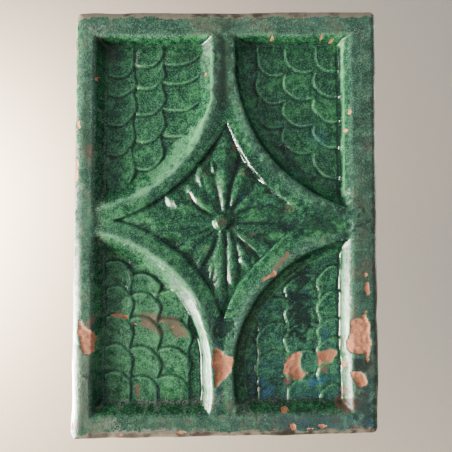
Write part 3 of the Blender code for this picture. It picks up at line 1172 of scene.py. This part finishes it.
@dataclass(frozen=True)
class Leaf:
    """The slab that carries the relief: its grid, its sides and its back."""

    width: float
    height: float
    grid: float = 0.85
    corner: float = 4.5
    side_rows: tuple = (0.86, 0.72, 0.58, 0.44, 0.3, 0.17, 0.07, 0.0)

    def round_corner(self, x: Array, z: Array) -> tuple:
        """Moves a square grid's corners in to the leaf's rounded ones.

        Args:
            x: Places across the leaf.
            z: Places up the leaf.

        Returns:
            The places moved.
        """
        past_x = np.abs(x) - (self.width / 2 - self.corner)
        past_z = np.abs(z) - (self.height / 2 - self.corner)
        corner = (past_x > 0.0) & (past_z > 0.0)
        length = np.where(corner, np.hypot(past_x, past_z), 1.0)
        pull = 1.0 - np.where(corner, np.maximum(past_x, past_z) / length, 1.0)
        return x - np.sign(x) * past_x * pull, z - np.sign(z) * past_z * pull

    def build(self, bm: BMesh, heights: Survey) -> list:
        """Builds the face and the sides, down to the back's outline.

        Args:
            bm: The mesh to build in.
            heights: The relief.

        Returns:
            The edges of the back's outline.
        """
        columns, rows = round(self.width / self.grid), round(self.height / self.grid)
        bmesh.ops.create_grid(bm, x_segments=columns, y_segments=rows, size=0.5)
        bmesh.ops.scale(bm, vec=(self.width, self.height, 1.0), verts=bm.verts)
        flat = np.array([vert.co for vert in bm.verts])
        x, z = self.round_corner(flat[:, 0], flat[:, 1])
        for vert, place in zip(bm.verts, zip(x, -heights.at(flat[:, 0], flat[:, 1]), z)):
            vert.co = place
        rim = [edge for edge in bm.edges if edge.is_boundary]
        for before, row in zip((1.0, *self.side_rows), self.side_rows):
            pulled = bmesh.ops.extrude_edge_only(bm, edges=rim)["geom"]
            for vert in (item for item in pulled if isinstance(item, BMVert)):
                vert.co.y *= row / before
            rim = [e for e in pulled if isinstance(e, BMEdge) and e.is_boundary]
        return rim


@dataclass(frozen=True)
class Collar:
    """The band of clay behind the leaf that holds the tile in the stove's wall."""

    width: float
    height: float
    depth: float
    wall: float = 9.0
    corner: float = 15.0
    luting: float = 3.0
    lip: float = 3.0
    rows: int = 17
    luting_steps: int = 4
    lip_steps: int = 8
    around: int = 204
    ridge: float = 0.28
    ridge_pitch: float = 7.5
    floor_rings: int = 24
    dent: float = 0.7
    dents: tuple = ((1.0, 31.0, 98), (0.5, 9.0, 99))
    dents_squeezed: tuple = (0.6, 0.3)
    wiped: float = 14.0

    def outline(self) -> tuple:
        """Evenly spaced points round the outer wall.

        Returns:
            X and Z of each point, and the direction that faces out of the collar there.
        """
        half_x, half_z = self.width / 2 - self.corner, self.height / 2 - self.corner
        arc = math.pi / 2 * self.corner
        runs = (half_z, arc, 2 * half_x, arc, 2 * half_z, arc, 2 * half_x, arc, half_z)
        keys = np.concatenate(((0.0,), np.cumsum(runs)))
        place = np.arange(self.around) / self.around * keys[-1]
        heading = np.interp(place, keys, np.radians((0, 0, 90, 90, 180, 180, 270, 270, 360, 360)))
        core_x = half_x * np.interp(place, keys, (1, 1, 1, -1, -1, -1, -1, 1, 1, 1))
        core_z = half_z * np.interp(place, keys, (0, 1, 1, 1, 1, -1, -1, -1, -1, 0))
        outward = np.stack((np.cos(heading), np.sin(heading)), axis=1)
        return np.stack((core_x, core_z), axis=1) + self.corner * outward, outward

    def section(self) -> list:
        """The wall's section from the leaf's back over the rim to the hollow's floor.

        Returns:
            Pairs of the distance inside the outer wall and the distance behind the leaf.
        """
        quarter = [math.pi / 2 * n / self.luting_steps for n in range(self.luting_steps + 1)]
        foot = [self.luting * (1.0 - math.sin(a)) for a in quarter]
        climb = [self.luting * (1.0 - math.cos(a)) for a in quarter]
        straight = np.linspace(self.luting, self.depth - self.lip, self.rows + 2)[1:-1]
        wave = [self.ridge * math.sin(2 * math.pi * y / self.ridge_pitch) for y in straight]
        outer = [(-a, b) for a, b in zip(foot, climb)]
        outer += [(w + self.ridge, y) for w, y in zip(wave, straight)]
        half = self.wall / 2
        turn = [math.pi * n / self.lip_steps for n in range(self.lip_steps + 1)]
        start = self.depth - self.lip
        rim = [(half - half * math.cos(a), start + self.lip * math.sin(a)) for a in turn]
        inner = [(self.wall - self.ridge - w, y) for w, y in zip(wave, straight)][::-1]
        inner += [(self.wall + a, b) for a, b in zip(foot, climb)][::-1]
        return outer + rim + inner

    def build(self, bm: BMesh, outline: list) -> None:
        """Builds the collar and the hollow's floor onto the leaf's back.

        Args:
            bm: The mesh to build in.
            outline: The edges of the back's outline.
        """
        section = self.section()
        made = bmesh.ops.create_circle(bm, segments=self.around, radius=1.0)["verts"]
        loop = list(dict.fromkeys(edge for vert in made for edge in vert.link_edges))
        self.place(made, *section[0])
        bmesh.ops.triangle_fill(bm, use_beauty=True, edges=outline + loop)
        ring = made
        for inset, behind in section[1:]:
            loop, ring = self.extended(bm, loop, ring)
            self.place(ring, inset, behind)
        self.close(bm, loop, ring)

    def close(self, bm: BMesh, loop: list, ring: list) -> None:
        """Closes the hollow's floor with rings that shrink to its middle.

        Args:
            bm: The mesh to build in.
            loop: The edges round the floor.
            ring: Their vertices, in order.
        """
        for n in range(1, self.floor_rings):
            shrink = (1.0 - n / self.floor_rings) / (1.0 - (n - 1) / self.floor_rings)
            start = [vert.co.copy() for vert in ring]
            loop, ring = self.extended(bm, loop, ring)
            for vert, place in zip(ring, start):
                vert.co = (place.x * shrink, 0.0, place.z * shrink)
        cap = bmesh.ops.contextual_create(bm, geom=loop)["faces"]
        bmesh.ops.poke(bm, faces=cap)

    @staticmethod
    def extended(bm: BMesh, loop: list, ring: list) -> tuple:
        """Extrudes a ring of edges once.

        Args:
            bm: The mesh to build in.
            loop: The ring's edges.
            ring: The ring's vertices, in order.

        Returns:
            The new ring's edges and its vertices, in the same order.
        """
        pulled = bmesh.ops.extrude_edge_only(bm, edges=loop)["geom"]
        fresh = {item for item in pulled if isinstance(item, BMVert)}
        edges = [e for e in pulled if isinstance(e, BMEdge) and e.is_boundary]
        partner = {}
        for old in ring:
            for edge in old.link_edges:
                if edge.other_vert(old) in fresh:
                    partner[old] = edge.other_vert(old)
        return edges, [partner[old] for old in ring]

    def place(self, ring: list, inset: float, behind: float) -> None:
        """Sets a ring of vertices to one place of the wall's section."""
        points, outward = self.outline()
        for vert, (x, z) in zip(ring, points - inset * outward):
            vert.co = (x, behind, z)


@dataclass(frozen=True)
class Tile:
    """The whole tile as one fired body: the leaf, the collar luted to it, and the glaze's marks."""

    leaf: Leaf
    collar: Collar
    relief: Relief = Relief()
    shear: float = 0.0081
    glaze_end: float = 8.5
    drips: tuple = ((2.2, 9.0, 81), (1.0, 3.1, 82))
    on_side: float = 1.0
    unglazed: float = -0.5
    rub_ends: tuple = (9.0, 14.0)
    side_wave: float = 0.45
    side_cell: float = 13.0
    side_seeds: tuple = (91, 92)
    side_slant: tuple = (0.8, -1.1)
    side_reach: float = 6.0
    collar_wave: float = 0.55
    collar_cells: tuple = (34.0, 11.0)
    collar_seeds: tuple = (93, 94)
    collar_lean: float = 0.7
    collar_fine: float = 0.3
    clear_of_leaf: tuple = (4.0, 25.0)
    rim_drop: float = 0.5
    rim_mean: float = 1.3
    rim_reach: float = 12.0
    rim_wave: tuple = ((1.0, 19.0, 95),)

    @classmethod
    def within(cls, low: Vector, high: Vector) -> "Tile":
        """Makes the tile to the box of its solid.

        Args:
            low: The solid's lowest corner, in metres.
            high: Its highest corner.

        Returns:
            The tile.
        """
        width, _, height = (high - low) / MM
        collar = Collar(width - 2 * COLLAR_INSET, height - 2 * COLLAR_INSET, high.y / MM)
        return cls(Leaf(width, height), collar)

    def inward(self, x: Array, z: Array) -> Array:
        """Distance inside the leaf's sides."""
        return np.minimum(self.leaf.width / 2 - np.abs(x), self.leaf.height / 2 - np.abs(z))

    def build(self) -> Object:
        """Builds the tile's mesh.

        Returns:
            The tile, with an attribute for each mask.
        """
        heights, marks = self.relief.masks(self.leaf)
        bm = bmesh.new()
        self.collar.build(bm, self.leaf.build(bm, heights))
        tile = shaped(bm, "glazed_stove_tile")
        mesh = tile.data
        places = np.empty(3 * len(mesh.vertices), np.float32)
        mesh.vertices.foreach_get("co", places)
        places = places.reshape(-1, 3).astype(float)
        self.mark(mesh, places, marks)
        mesh.vertices.foreach_set("co", (self.handled(places) * MM).astype(np.float32).ravel())
        mesh.update()
        return tile

    def mark(self, mesh: bpy.types.Mesh, places: Array, marks: dict) -> None:
        """Writes the masks on the mesh.

        Args:
            mesh: The tile's mesh.
            places: Its vertices, as the design has them.
            marks: A survey of the face for each mask.
        """
        x, y, z = places.T
        far = self.relief.wear.farthest
        run = uneven(x, z, self.drips)
        on_side = self.inward(x, z) < self.on_side
        below_glaze = np.where(on_side, y + self.glaze_end + run, -far)
        below_glaze = np.where(y > self.unglazed, far, below_glaze)
        for mask, survey in marks.items():
            values = survey.at(x, z)
            if mask is Mask.BARE:
                values = np.clip(np.maximum(values, below_glaze), -far, far)
            else:
                values = np.where(below_glaze < 0.0, values, 0.0)
            if mask is Mask.RUBBED:
                values = values * ease(-y, *self.rub_ends)
            attribute = mesh.attributes.new(mask.value, "FLOAT", "POINT")
            attribute.data.foreach_set("value", values.astype(np.float32))

    def handled(self, places: Array) -> Array:
        """Gives the tile the unevenness of hand work: a lean, and wavy sides and collar.

        Args:
            places: The vertices, as the design has them.

        Returns:
            The vertices as the tile came out of the kiln.
        """
        x, y, z = places.T
        side = ease(-self.inward(x, z), -self.side_reach, 0.0) * (y <= 0.0) * self.side_wave
        slant_x, slant_z = self.side_slant
        places_on_side = (x + slant_x * y, z + slant_z * y)
        shift = [side * Unevenness(self.side_cell, seed).at(*places_on_side) for seed in self.side_seeds]
        off_back, (wide, fine) = ease(y, *self.clear_of_leaf), self.collar_cells
        for axis, seed in enumerate(self.collar_seeds):
            sway = Unevenness(wide, seed).at(x, z + self.collar_lean * y)
            sway = sway + self.collar_fine * Unevenness(fine, seed).at(x, z)
            shift[axis] = shift[axis] + self.collar_wave * off_back * sway
        y = y + self.dented(x, y, z)
        rim = ease(y, self.collar.depth - self.rim_reach, self.collar.depth)
        lower = self.rim_drop * rim * (self.rim_mean + uneven(x, z, self.rim_wave))
        x, z = x + shift[0], z + shift[1]
        return np.stack((x + self.shear * z, y - lower, z + self.shear * x), axis=1)

    def dented(self, x: Array, y: Array, z: Array) -> Array:
        """Finds the dents that a hand left in the hollow's floor.

        Args:
            x: Places across the leaf.
            y: Places behind it.
            z: Places up the leaf.

        Returns:
            How far each place is pushed, which is nothing outside the floor.
        """
        collar = self.collar
        wall = collar.wall + collar.luting
        gaps = (collar.width / 2 - wall - np.abs(x), collar.height / 2 - wall - np.abs(z))
        wiped = np.prod([ease(gap, 0.0, collar.wiped) for gap in gaps], axis=0) * (np.abs(y) < 0.01)
        waves = zip(collar.dents, collar.dents_squeezed)
        dents = sum(uneven(x, squeezed * z, (wave,)) for wave, squeezed in waves)
        return collar.dent * wiped * dents


def srgb(code: str) -> tuple:
    """Turns an sRGB hex colour into linear values.

    Args:
        code: Six hex digits.

    Returns:
        Red, green, blue and an alpha of 1.
    """
    shares = [int(code[n : n + 2], 16) / 255.0 for n in (0, 2, 4)]
    linear = [s / 12.92 if s <= 0.04045 else ((s + 0.055) / 1.055) ** 2.4 for s in shares]
    return (*linear, 1.0)


def add_node(tree: NodeTree, kind: str, settings: dict, links: dict) -> bpy.types.Node:
    """Adds a node to a shader.

    Args:
        tree: The shader's node tree.
        kind: The node's type, without its prefix.
        settings: Values by the name of a property, or by the name or number of an input.
        links: Sockets that feed inputs, by the input's name or number.

    Returns:
        The node.
    """
    node = tree.nodes.new("ShaderNode" + kind)
    for key, value in settings.items():
        if isinstance(key, str) and hasattr(node, key):
            setattr(node, key, value)
        else:
            node.inputs[key].default_value = value
    for key, socket in links.items():
        tree.links.new(socket, node.inputs[key])
    return node


def new_material(name: str) -> tuple:
    """Starts a material.

    Args:
        name: The material's name.

    Returns:
        The material, its empty node tree, and a socket with Object coordinates.
    """
    material = bpy.data.materials.new(name)
    material.use_nodes = True
    tree = material.node_tree
    tree.nodes.clear()
    return material, tree, add_node(tree, "TexCoord", {}, {}).outputs["Object"]


def surface(tree: NodeTree, settings: dict, links: dict) -> None:
    """Ends a material with its Principled shader, which takes the settings and links."""
    shader = add_node(tree, "BsdfPrincipled", settings, links)
    add_node(tree, "OutputMaterial", {}, {"Surface": shader.outputs["BSDF"]})


def mapped(tree: NodeTree, value: Socket, span: tuple, onto: tuple = (0.0, 1.0)) -> Socket:
    """Maps one span of values onto another, and stops at its ends.

    Args:
        tree: The shader's node tree.
        value: The socket to read.
        span: Where the values start and end.
        onto: What the two ends become.

    Returns:
        The mapped socket.
    """
    names = ("From Min", "From Max", "To Min", "To Max")
    settings = dict(zip(names, (*span, *onto)))
    return add_node(tree, "MapRange", settings, {"Value": value}).outputs[0]


def summed(tree: NodeTree, value: Socket, factor: float, added: Socket) -> Socket:
    """Multiplies one socket by a factor and adds another to it."""
    settings = {"operation": "MULTIPLY_ADD", 1: factor}
    return add_node(tree, "Math", settings, {0: value, 2: added}).outputs[0]


def blended(tree: NodeTree, share: Socket, *pair: object) -> Socket:
    """Mixes two colours or two numbers.

    Args:
        tree: The shader's node tree.
        share: How much of the second is in the mix.
        pair: Two of the same kind, each a socket, a hex colour or a number.

    Returns:
        The mixed socket.
    """
    coloured = any(isinstance(item, (str, bpy.types.NodeSocketColor)) for item in pair)
    kind, first, result = ("RGBA", 6, 2) if coloured else ("FLOAT", 2, 0)
    settings, links = {"data_type": kind}, {0: share}
    for number, item in enumerate(pair, first):
        if isinstance(item, Socket):
            links[number] = item
        else:
            settings[number] = srgb(item) if coloured else item
    return add_node(tree, "Mix", settings, links).outputs[result]


class Tone(Enum):
    """Patterns and heights that a layer of the finish can follow."""

    GRAIN = "grain"  # fine speckle of the glaze
    MOTTLE = "mottle"  # its blotches
    CLOUD = "cloud"  # its slow change over the tile
    PROUD = "proud"  # how high a place stands: the frame and the ribs against the grounds


@dataclass(frozen=True)
class Pattern:
    """A random pattern with features of a real size, in millimetres."""

    size: float
    detail: float = 2.0
    roughness: float = 0.5

    def drawn(self, tree: NodeTree, place: Socket) -> Socket:
        """Adds the pattern to a shader that has Object coordinates."""
        scale = 1.0 / (self.size * MM)
        settings = {"Scale": scale, "Detail": self.detail, "Roughness": self.roughness}
        return add_node(tree, "TexNoise", settings, {"Vector": place}).outputs["Fac"]


@dataclass(frozen=True)
class Layer:
    """One tone of the glaze, with what it follows and how it is broken up."""

    code: str
    follows: Enum
    start: float
    end: float
    most: float
    roughness: float
    broken_by: Tone = Tone.GRAIN
    breaking: float = 0.0


@dataclass(frozen=True)
class LeadGlaze:
    """Copper-green lead glaze: glassy and mottled, pale where thin, dark where it pooled, with painted
    light, shade and blue reflections in places.
    """

    deep: str = "143a29"
    gloss: float = 0.13
    patterns: tuple = (
        (Tone.GRAIN, Pattern(0.85, 2.0, 0.7)),
        (Tone.MOTTLE, Pattern(3.6, 4.0, 0.7)),
        (Tone.CLOUD, Pattern(13.0, 3.0, 0.55)),
    )
    layers: tuple = (
        # blotches of the body colour, light and dark
        Layer("2a5a3c", Tone.MOTTLE, 0.3, 0.58, 0.85, 0.14, Tone.CLOUD, 0.4),
        Layer("488a50", Tone.MOTTLE, 0.5, 0.75, 0.72, 0.16, Tone.CLOUD, 0.8),
        # dull and greyish where hands and cloths reached, the grey partly a painted sheen on the frame
        # and ribs, with patches of brown film
        Layer("566c62", Tone.PROUD, 0.0, 1.0, 0.55, 0.22, Tone.MOTTLE, 1.4),
        Layer("17382a", Tone.PROUD, 1.0, 1.35, 0.5, 0.2, Tone.CLOUD, -2.6),
        Layer("5b5248", Tone.PROUD, 1.05, 1.4, 0.65, 0.45, Tone.CLOUD, 2.8),
        # thin on crests, with painted light on lit shoulders and slopes
        Layer("7dba8a", Mask.CREST_AND_LIGHT, 0.12, 0.9, 0.6, 0.16, Tone.GRAIN, 0.8),
        # pale and dark speckle
        Layer("7aae83", Tone.GRAIN, 0.49, 0.75, 0.6, 0.2, Tone.MOTTLE, 0.25),
        Layer("10211e", Tone.GRAIN, 0.49, 0.28, 0.5, 0.15, Tone.MOTTLE, 0.25),
        # thick in hollows, with painted shade in creases, under the right-hand lips and over the right
        # half
        Layer("0f201d", Mask.POOL_AND_SHADE, 0.1, 0.9, 0.85, 0.1, Tone.MOTTLE, 0.25),
        # painted blue reflections
        Layer("35607a", Mask.BLOOM, 0.2, 1.3, 0.8, 0.12, Tone.GRAIN, 2.6),
        # use and dirt, with painted light on the left edge and wall, and painted shade along the top
        # edge and down the right side
        Layer("8a8a80", Mask.HAZE_AND_LIGHT, 0.3, 0.9, 0.75, 0.55, Tone.GRAIN, 1.5),
        Layer("6b5748", Mask.STAIN, 0.15, 0.8, 0.85, 0.35, Tone.GRAIN, 1.4),
        Layer("857563", Mask.RUBBED, 0.5, 0.9, 0.8, 0.6, Tone.MOTTLE, 1.5),
        Layer("3a2d26", Mask.RUBBED, 1.0, 1.25, 0.85, 0.6, Tone.CLOUD, 2.4),
        Layer("26261c", Mask.GRIME_AND_SHADE, 0.1, 0.95, 0.8, 0.45, Tone.MOTTLE, 0.9),
    )


@dataclass(frozen=True)
class FiredClay:
    """Terracotta as it shows in chips, on the sides and on the back: matt and gritty."""

    body: str = "a2684a"
    pale: str = "c18d72"
    sooty: str = "6b4a39"
    roughness: float = 0.9
    grit: Pattern = Pattern(1.0, 3.0, 0.7)
    specks: tuple = (0.38, 0.6)
    smudge: Pattern = Pattern(16.0, 6.0, 0.72)
    smudges: tuple = (0.5, 1.05)
    smudged: float = 0.8
    soot_reach: tuple = (-16.0 * MM, 2.0 * MM)
    soot: float = 0.26


@dataclass(frozen=True)
class TileFinish:
    """The tile's surface: green lead glaze over fired terracotta."""

    glaze: LeadGlaze = LeadGlaze()
    clay: FiredClay = FiredClay()
    name: str = "green_lead_glaze_on_terracotta"
    proud: tuple = (-16.2 * MM, -17.8 * MM)
    ragged: float = 1.3
    chip_edge: float = 0.05
    chip_step: float = -3.0
    grain_share: float = 1.2
    calm: tuple = ((0.1, 0.7), (1.0, 0.15))
    bump: float = 0.18 * MM
    ior: float = 1.62

    def sources(self, tree: NodeTree, place: Socket) -> dict:
        """Adds the masks, the patterns and the height that the layers follow.

        Args:
            tree: The material's node tree.
            place: Object coordinates.

        Returns:
            A socket for each Mask and Tone.
        """
        found = {}
        for mask in Mask:
            found[mask] = add_node(tree, "Attribute", {"attribute_name": mask.value}, {}).outputs["Fac"]
        for tone, pattern in self.glaze.patterns:
            found[tone] = pattern.drawn(tree, place)
        height = add_node(tree, "SeparateXYZ", {}, {0: place}).outputs["Y"]
        found[Tone.PROUD] = mapped(tree, height, self.proud)
        return found

    def glazed(self, tree: NodeTree, sources: dict) -> tuple:
        """Lays the glaze's tones over each other.

        Args:
            tree: The material's node tree.
            sources: A socket for each Mask and Tone.

        Returns:
            Sockets with the glaze's colour and its roughness.
        """
        colour, gloss = self.glaze.deep, self.glaze.gloss
        for layer in self.glaze.layers:
            centred = {"operation": "SUBTRACT", 1: 0.5}
            around = add_node(tree, "Math", centred, {0: sources[layer.broken_by]}).outputs[0]
            broken = summed(tree, around, layer.breaking, sources[layer.follows])
            share = mapped(tree, broken, (layer.start, layer.end), (0.0, layer.most))
            colour = blended(tree, share, colour, layer.code)
            gloss = blended(tree, share, gloss, layer.roughness)
        return colour, gloss

    def fired(self, tree: NodeTree, place: Socket, grit: Socket) -> Socket:
        """Makes the bare clay's colour.

        Args:
            tree: The material's node tree.
            place: Object coordinates.
            grit: The clay's fine pattern.

        Returns:
            A socket with its colour.
        """
        clay = self.clay
        colour = blended(tree, mapped(tree, grit, clay.specks), clay.body, clay.pale)
        behind = add_node(tree, "SeparateXYZ", {}, {0: place}).outputs["Y"]
        soot = mapped(tree, behind, clay.soot_reach, (0.0, clay.soot))
        both = summed(tree, clay.smudge.drawn(tree, place), 1.0, soot)
        share = mapped(tree, both, clay.smudges, (0.0, clay.smudged))
        return blended(tree, share, colour, clay.sooty)

    def build(self) -> bpy.types.Material:
        """Builds the material.

        Returns:
            The material, which reads the mesh's masks and its Object coordinates.
        """
        material, tree, place = new_material(self.name)
        sources = self.sources(tree, place)
        grit = self.clay.grit.drawn(tree, place)
        middle = self.ragged / 2
        edge = summed(tree, sources[Tone.MOTTLE], self.ragged, sources[Mask.BARE])
        chip = mapped(tree, edge, (middle - self.chip_edge, middle + self.chip_edge))
        glazed, gloss = self.glazed(tree, sources)
        colour = blended(tree, chip, glazed, self.fired(tree, place, grit))
        roughness = blended(tree, chip, gloss, self.clay.roughness)
        uneven_glaze = summed(tree, sources[Tone.GRAIN], self.grain_share, sources[Tone.MOTTLE])
        calm = mapped(tree, sources[Mask.POOL_AND_SHADE], *self.calm)
        glassy = add_node(tree, "Math", {"operation": "MULTIPLY"}, {0: uneven_glaze, 1: calm})
        relief = blended(tree, chip, glassy.outputs[0], grit)
        stepped = summed(tree, chip, self.chip_step, relief)
        depth = {"Strength": 1.0, "Distance": self.bump}
        bump = add_node(tree, "Bump", depth, {"Height": stepped}).outputs[0]
        inputs = {"Base Color": colour, "Roughness": roughness, "Normal": bump}
        surface(tree, {"IOR": self.ior}, inputs)
        return material


@dataclass(frozen=True)
class Paper:
    """Uncoated background paper: pale, matt, a little warm."""

    code: str = "e9e2d8"
    fleck: str = "d6d0c6"
    name: str = "background_paper"
    roughness: float = 0.95
    fibre: Pattern = Pattern(5.0, 3.0, 0.6)

    def build(self) -> bpy.types.Material:
        """Builds the material."""
        material, tree, place = new_material(self.name)
        flecked = blended(tree, self.fibre.drawn(tree, place), self.code, self.fleck)
        surface(tree, {"Roughness": self.roughness}, {"Base Color": flecked})
        return material


class Lit(Enum):
    """What a light falls on."""

    TILE = "tile"
    PAPER = "paper"


@dataclass(frozen=True)
class Softbox:
    """A rectangular soft light, in metres."""

    name: str
    place: tuple
    size: tuple
    watts: float
    code: str = "ffffff"
    aim: tuple = (0.0, 0.0, 0.0)
    spread: float = 180.0
    mirrored: bool = True
    lit: Lit = Lit.TILE

    def build(self, receivers: dict) -> None:
        """Adds the light to the scene.

        Args:
            receivers: A collection that says what is lit, for each choice of Lit.
        """
        light = bpy.data.lights.new(self.name, "AREA")
        light.shape = "RECTANGLE"
        light.size, light.size_y = self.size
        light.energy = self.watts
        light.color = srgb(self.code)[:3]
        light.spread = math.radians(self.spread)
        item = bpy.data.objects.new(self.name, light)
        item.location = self.place
        facing = Vector(self.aim) - Vector(self.place)
        item.rotation_euler = facing.to_track_quat("-Z", "Y").to_euler()
        item.visible_camera = False
        item.visible_glossy = self.mirrored
        item.light_linking.receiver_collection = receivers[self.lit]
        bpy.context.collection.objects.link(item)


@dataclass(frozen=True)
class Studio:
    """A pale paper sweep behind and below the tile, soft lights and the camera."""

    floor: float = -0.62
    front: float = -1.6
    back: float = 0.75
    sweep: float = 0.9
    sweep_steps: int = 32
    top: float = 1.9
    half_width: float = 3.2
    camera_place: tuple = (-0.00296, -0.26487, -0.00982)
    camera_turn: tuple = (91.589, 0.329, -0.710)
    lens: float = 31.86
    clip: tuple = (0.01, 30.0)
    room: str = "adb3b8"
    seen: str = "e4ddd0"
    lights: tuple = (
        Softbox("window", (-1.15, -0.35, -0.405), (1.66, 0.5), 152.0, "fffaf2", (0.0, -1.1, 0.0), 150.0),
        Softbox("ceiling", (-0.3, -0.2, 1.7), (2.0, 1.2), 18.0, "fffaf2", mirrored=False),
        Softbox("blue_fill", (0.36, -0.88, -0.62), (0.16, 0.05), 1.2, "6f9cff"),
        Softbox("back_fill", (-0.9, 1.2, 1.3), (1.0, 1.0), 5.0, "fff6ea"),
        Softbox("side_fill", (1.3, 0.35, 0.3), (0.8, 0.8), 12.0, "fff6ea"),
        Softbox(
            "paper", (-1.75, 1.05, 0.1), (0.8, 0.8), 84.0, "ffedd6", (-1.1, 1.65, 0.0), lit=Lit.PAPER
        ),
    )

    def build(self) -> None:
        """Builds the sweep, the lights, the surroundings and the camera."""
        sweep, receivers = self.paper_sweep(), {}
        for lit, state in ((Lit.TILE, "EXCLUDE"), (Lit.PAPER, "INCLUDE")):
            receivers[lit] = bpy.data.collections.new("lights_for_" + lit.value)
            receivers[lit].objects.link(sweep)
            receivers[lit].collection_objects[0].light_linking.link_state = state
        for light in self.lights:
            light.build(receivers)
        self.surroundings()
        self.camera()
        bpy.context.scene.view_settings.view_transform = "AgX"
        bpy.context.scene.view_settings.look = "AgX - Medium High Contrast"

    def paper_sweep(self) -> Object:
        """Builds the paper: a floor that curves up to a wall far behind the tile."""
        bm = bmesh.new()
        ends = [bm.verts.new((x, self.front, self.floor)) for x in (-self.half_width, self.half_width)]
        line = [bm.edges.new(ends)]
        line = self.pulled(bm, line, (0.0, self.back - self.front, 0.0))
        turned = bmesh.ops.spin(
            bm,
            geom=line + [vert for edge in line for vert in edge.verts],
            cent=(0.0, self.back, self.floor + self.sweep),
            axis=(1.0, 0.0, 0.0),
            dvec=(0.0, 0.0, 0.0),
            angle=math.pi / 2,
            steps=self.sweep_steps,
            use_merge=False,
            use_normal_flip=False,
            use_duplicate=False,
        )["geom_last"]
        line = [item for item in turned if isinstance(item, BMEdge)]
        self.pulled(bm, line, (0.0, 0.0, self.top - self.floor - self.sweep))
        sweep = shaped(bm, "paper_sweep")
        sweep.data.materials.append(Paper().build())
        return sweep

    @staticmethod
    def pulled(bm: BMesh, line: list, step: tuple) -> list:
        """Extrudes a line of edges and moves it.

        Args:
            bm: The mesh to build in.
            line: The edges.
            step: How far to move them.

        Returns:
            The edges at the new place.
        """
        made = bmesh.ops.extrude_edge_only(bm, edges=line)["geom"]
        verts = {v for v in made if isinstance(v, BMVert)}
        bmesh.ops.translate(bm, vec=step, verts=list(verts))
        edges = [e for e in made if isinstance(e, BMEdge)]
        return [edge for edge in edges if set(edge.verts) <= verts]

    def surroundings(self) -> None:
        """Makes the room's dim light, which shows pale where no paper stands."""
        world = bpy.data.worlds.new("studio_room")
        bpy.context.scene.world = world
        world.use_nodes = True
        tree = world.node_tree
        tree.nodes.clear()
        camera_ray = add_node(tree, "LightPath", {}, {}).outputs["Is Camera Ray"]
        colour = blended(tree, camera_ray, self.room, self.seen)
        room = add_node(tree, "Background", {}, {"Color": colour})
        add_node(tree, "OutputWorld", {}, {"Surface": room.outputs[0]})

    def camera(self) -> None:
        """Places the camera square to the tile, a little low and close."""
        data = bpy.data.cameras.new("camera")
        data.lens = self.lens
        data.clip_start, data.clip_end = self.clip
        camera = bpy.data.objects.new("camera", data)
        camera.location = self.camera_place
        camera.rotation_euler = Euler([math.radians(turn) for turn in self.camera_turn])
        bpy.context.collection.objects.link(camera)
        bpy.context.scene.camera = camera


def main() -> None:
    """Builds the tile in its studio and logs its face count and the number of lights."""
    logging.basicConfig(level=logging.INFO, format="%(name)s: %(message)s")
    tile = Tile.within(CAD_LOW, CAD_HIGH).build()
    tile.data.materials.append(TileFinish().build())
    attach(tile, "root")
    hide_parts(NODE)
    LOG.info("%s: %d faces", tile.name, len(tile.data.polygons))
    Studio().build()
    LOG.info("studio: %d lights", len(Studio().lights))


if __name__ == "__main__":
    main()
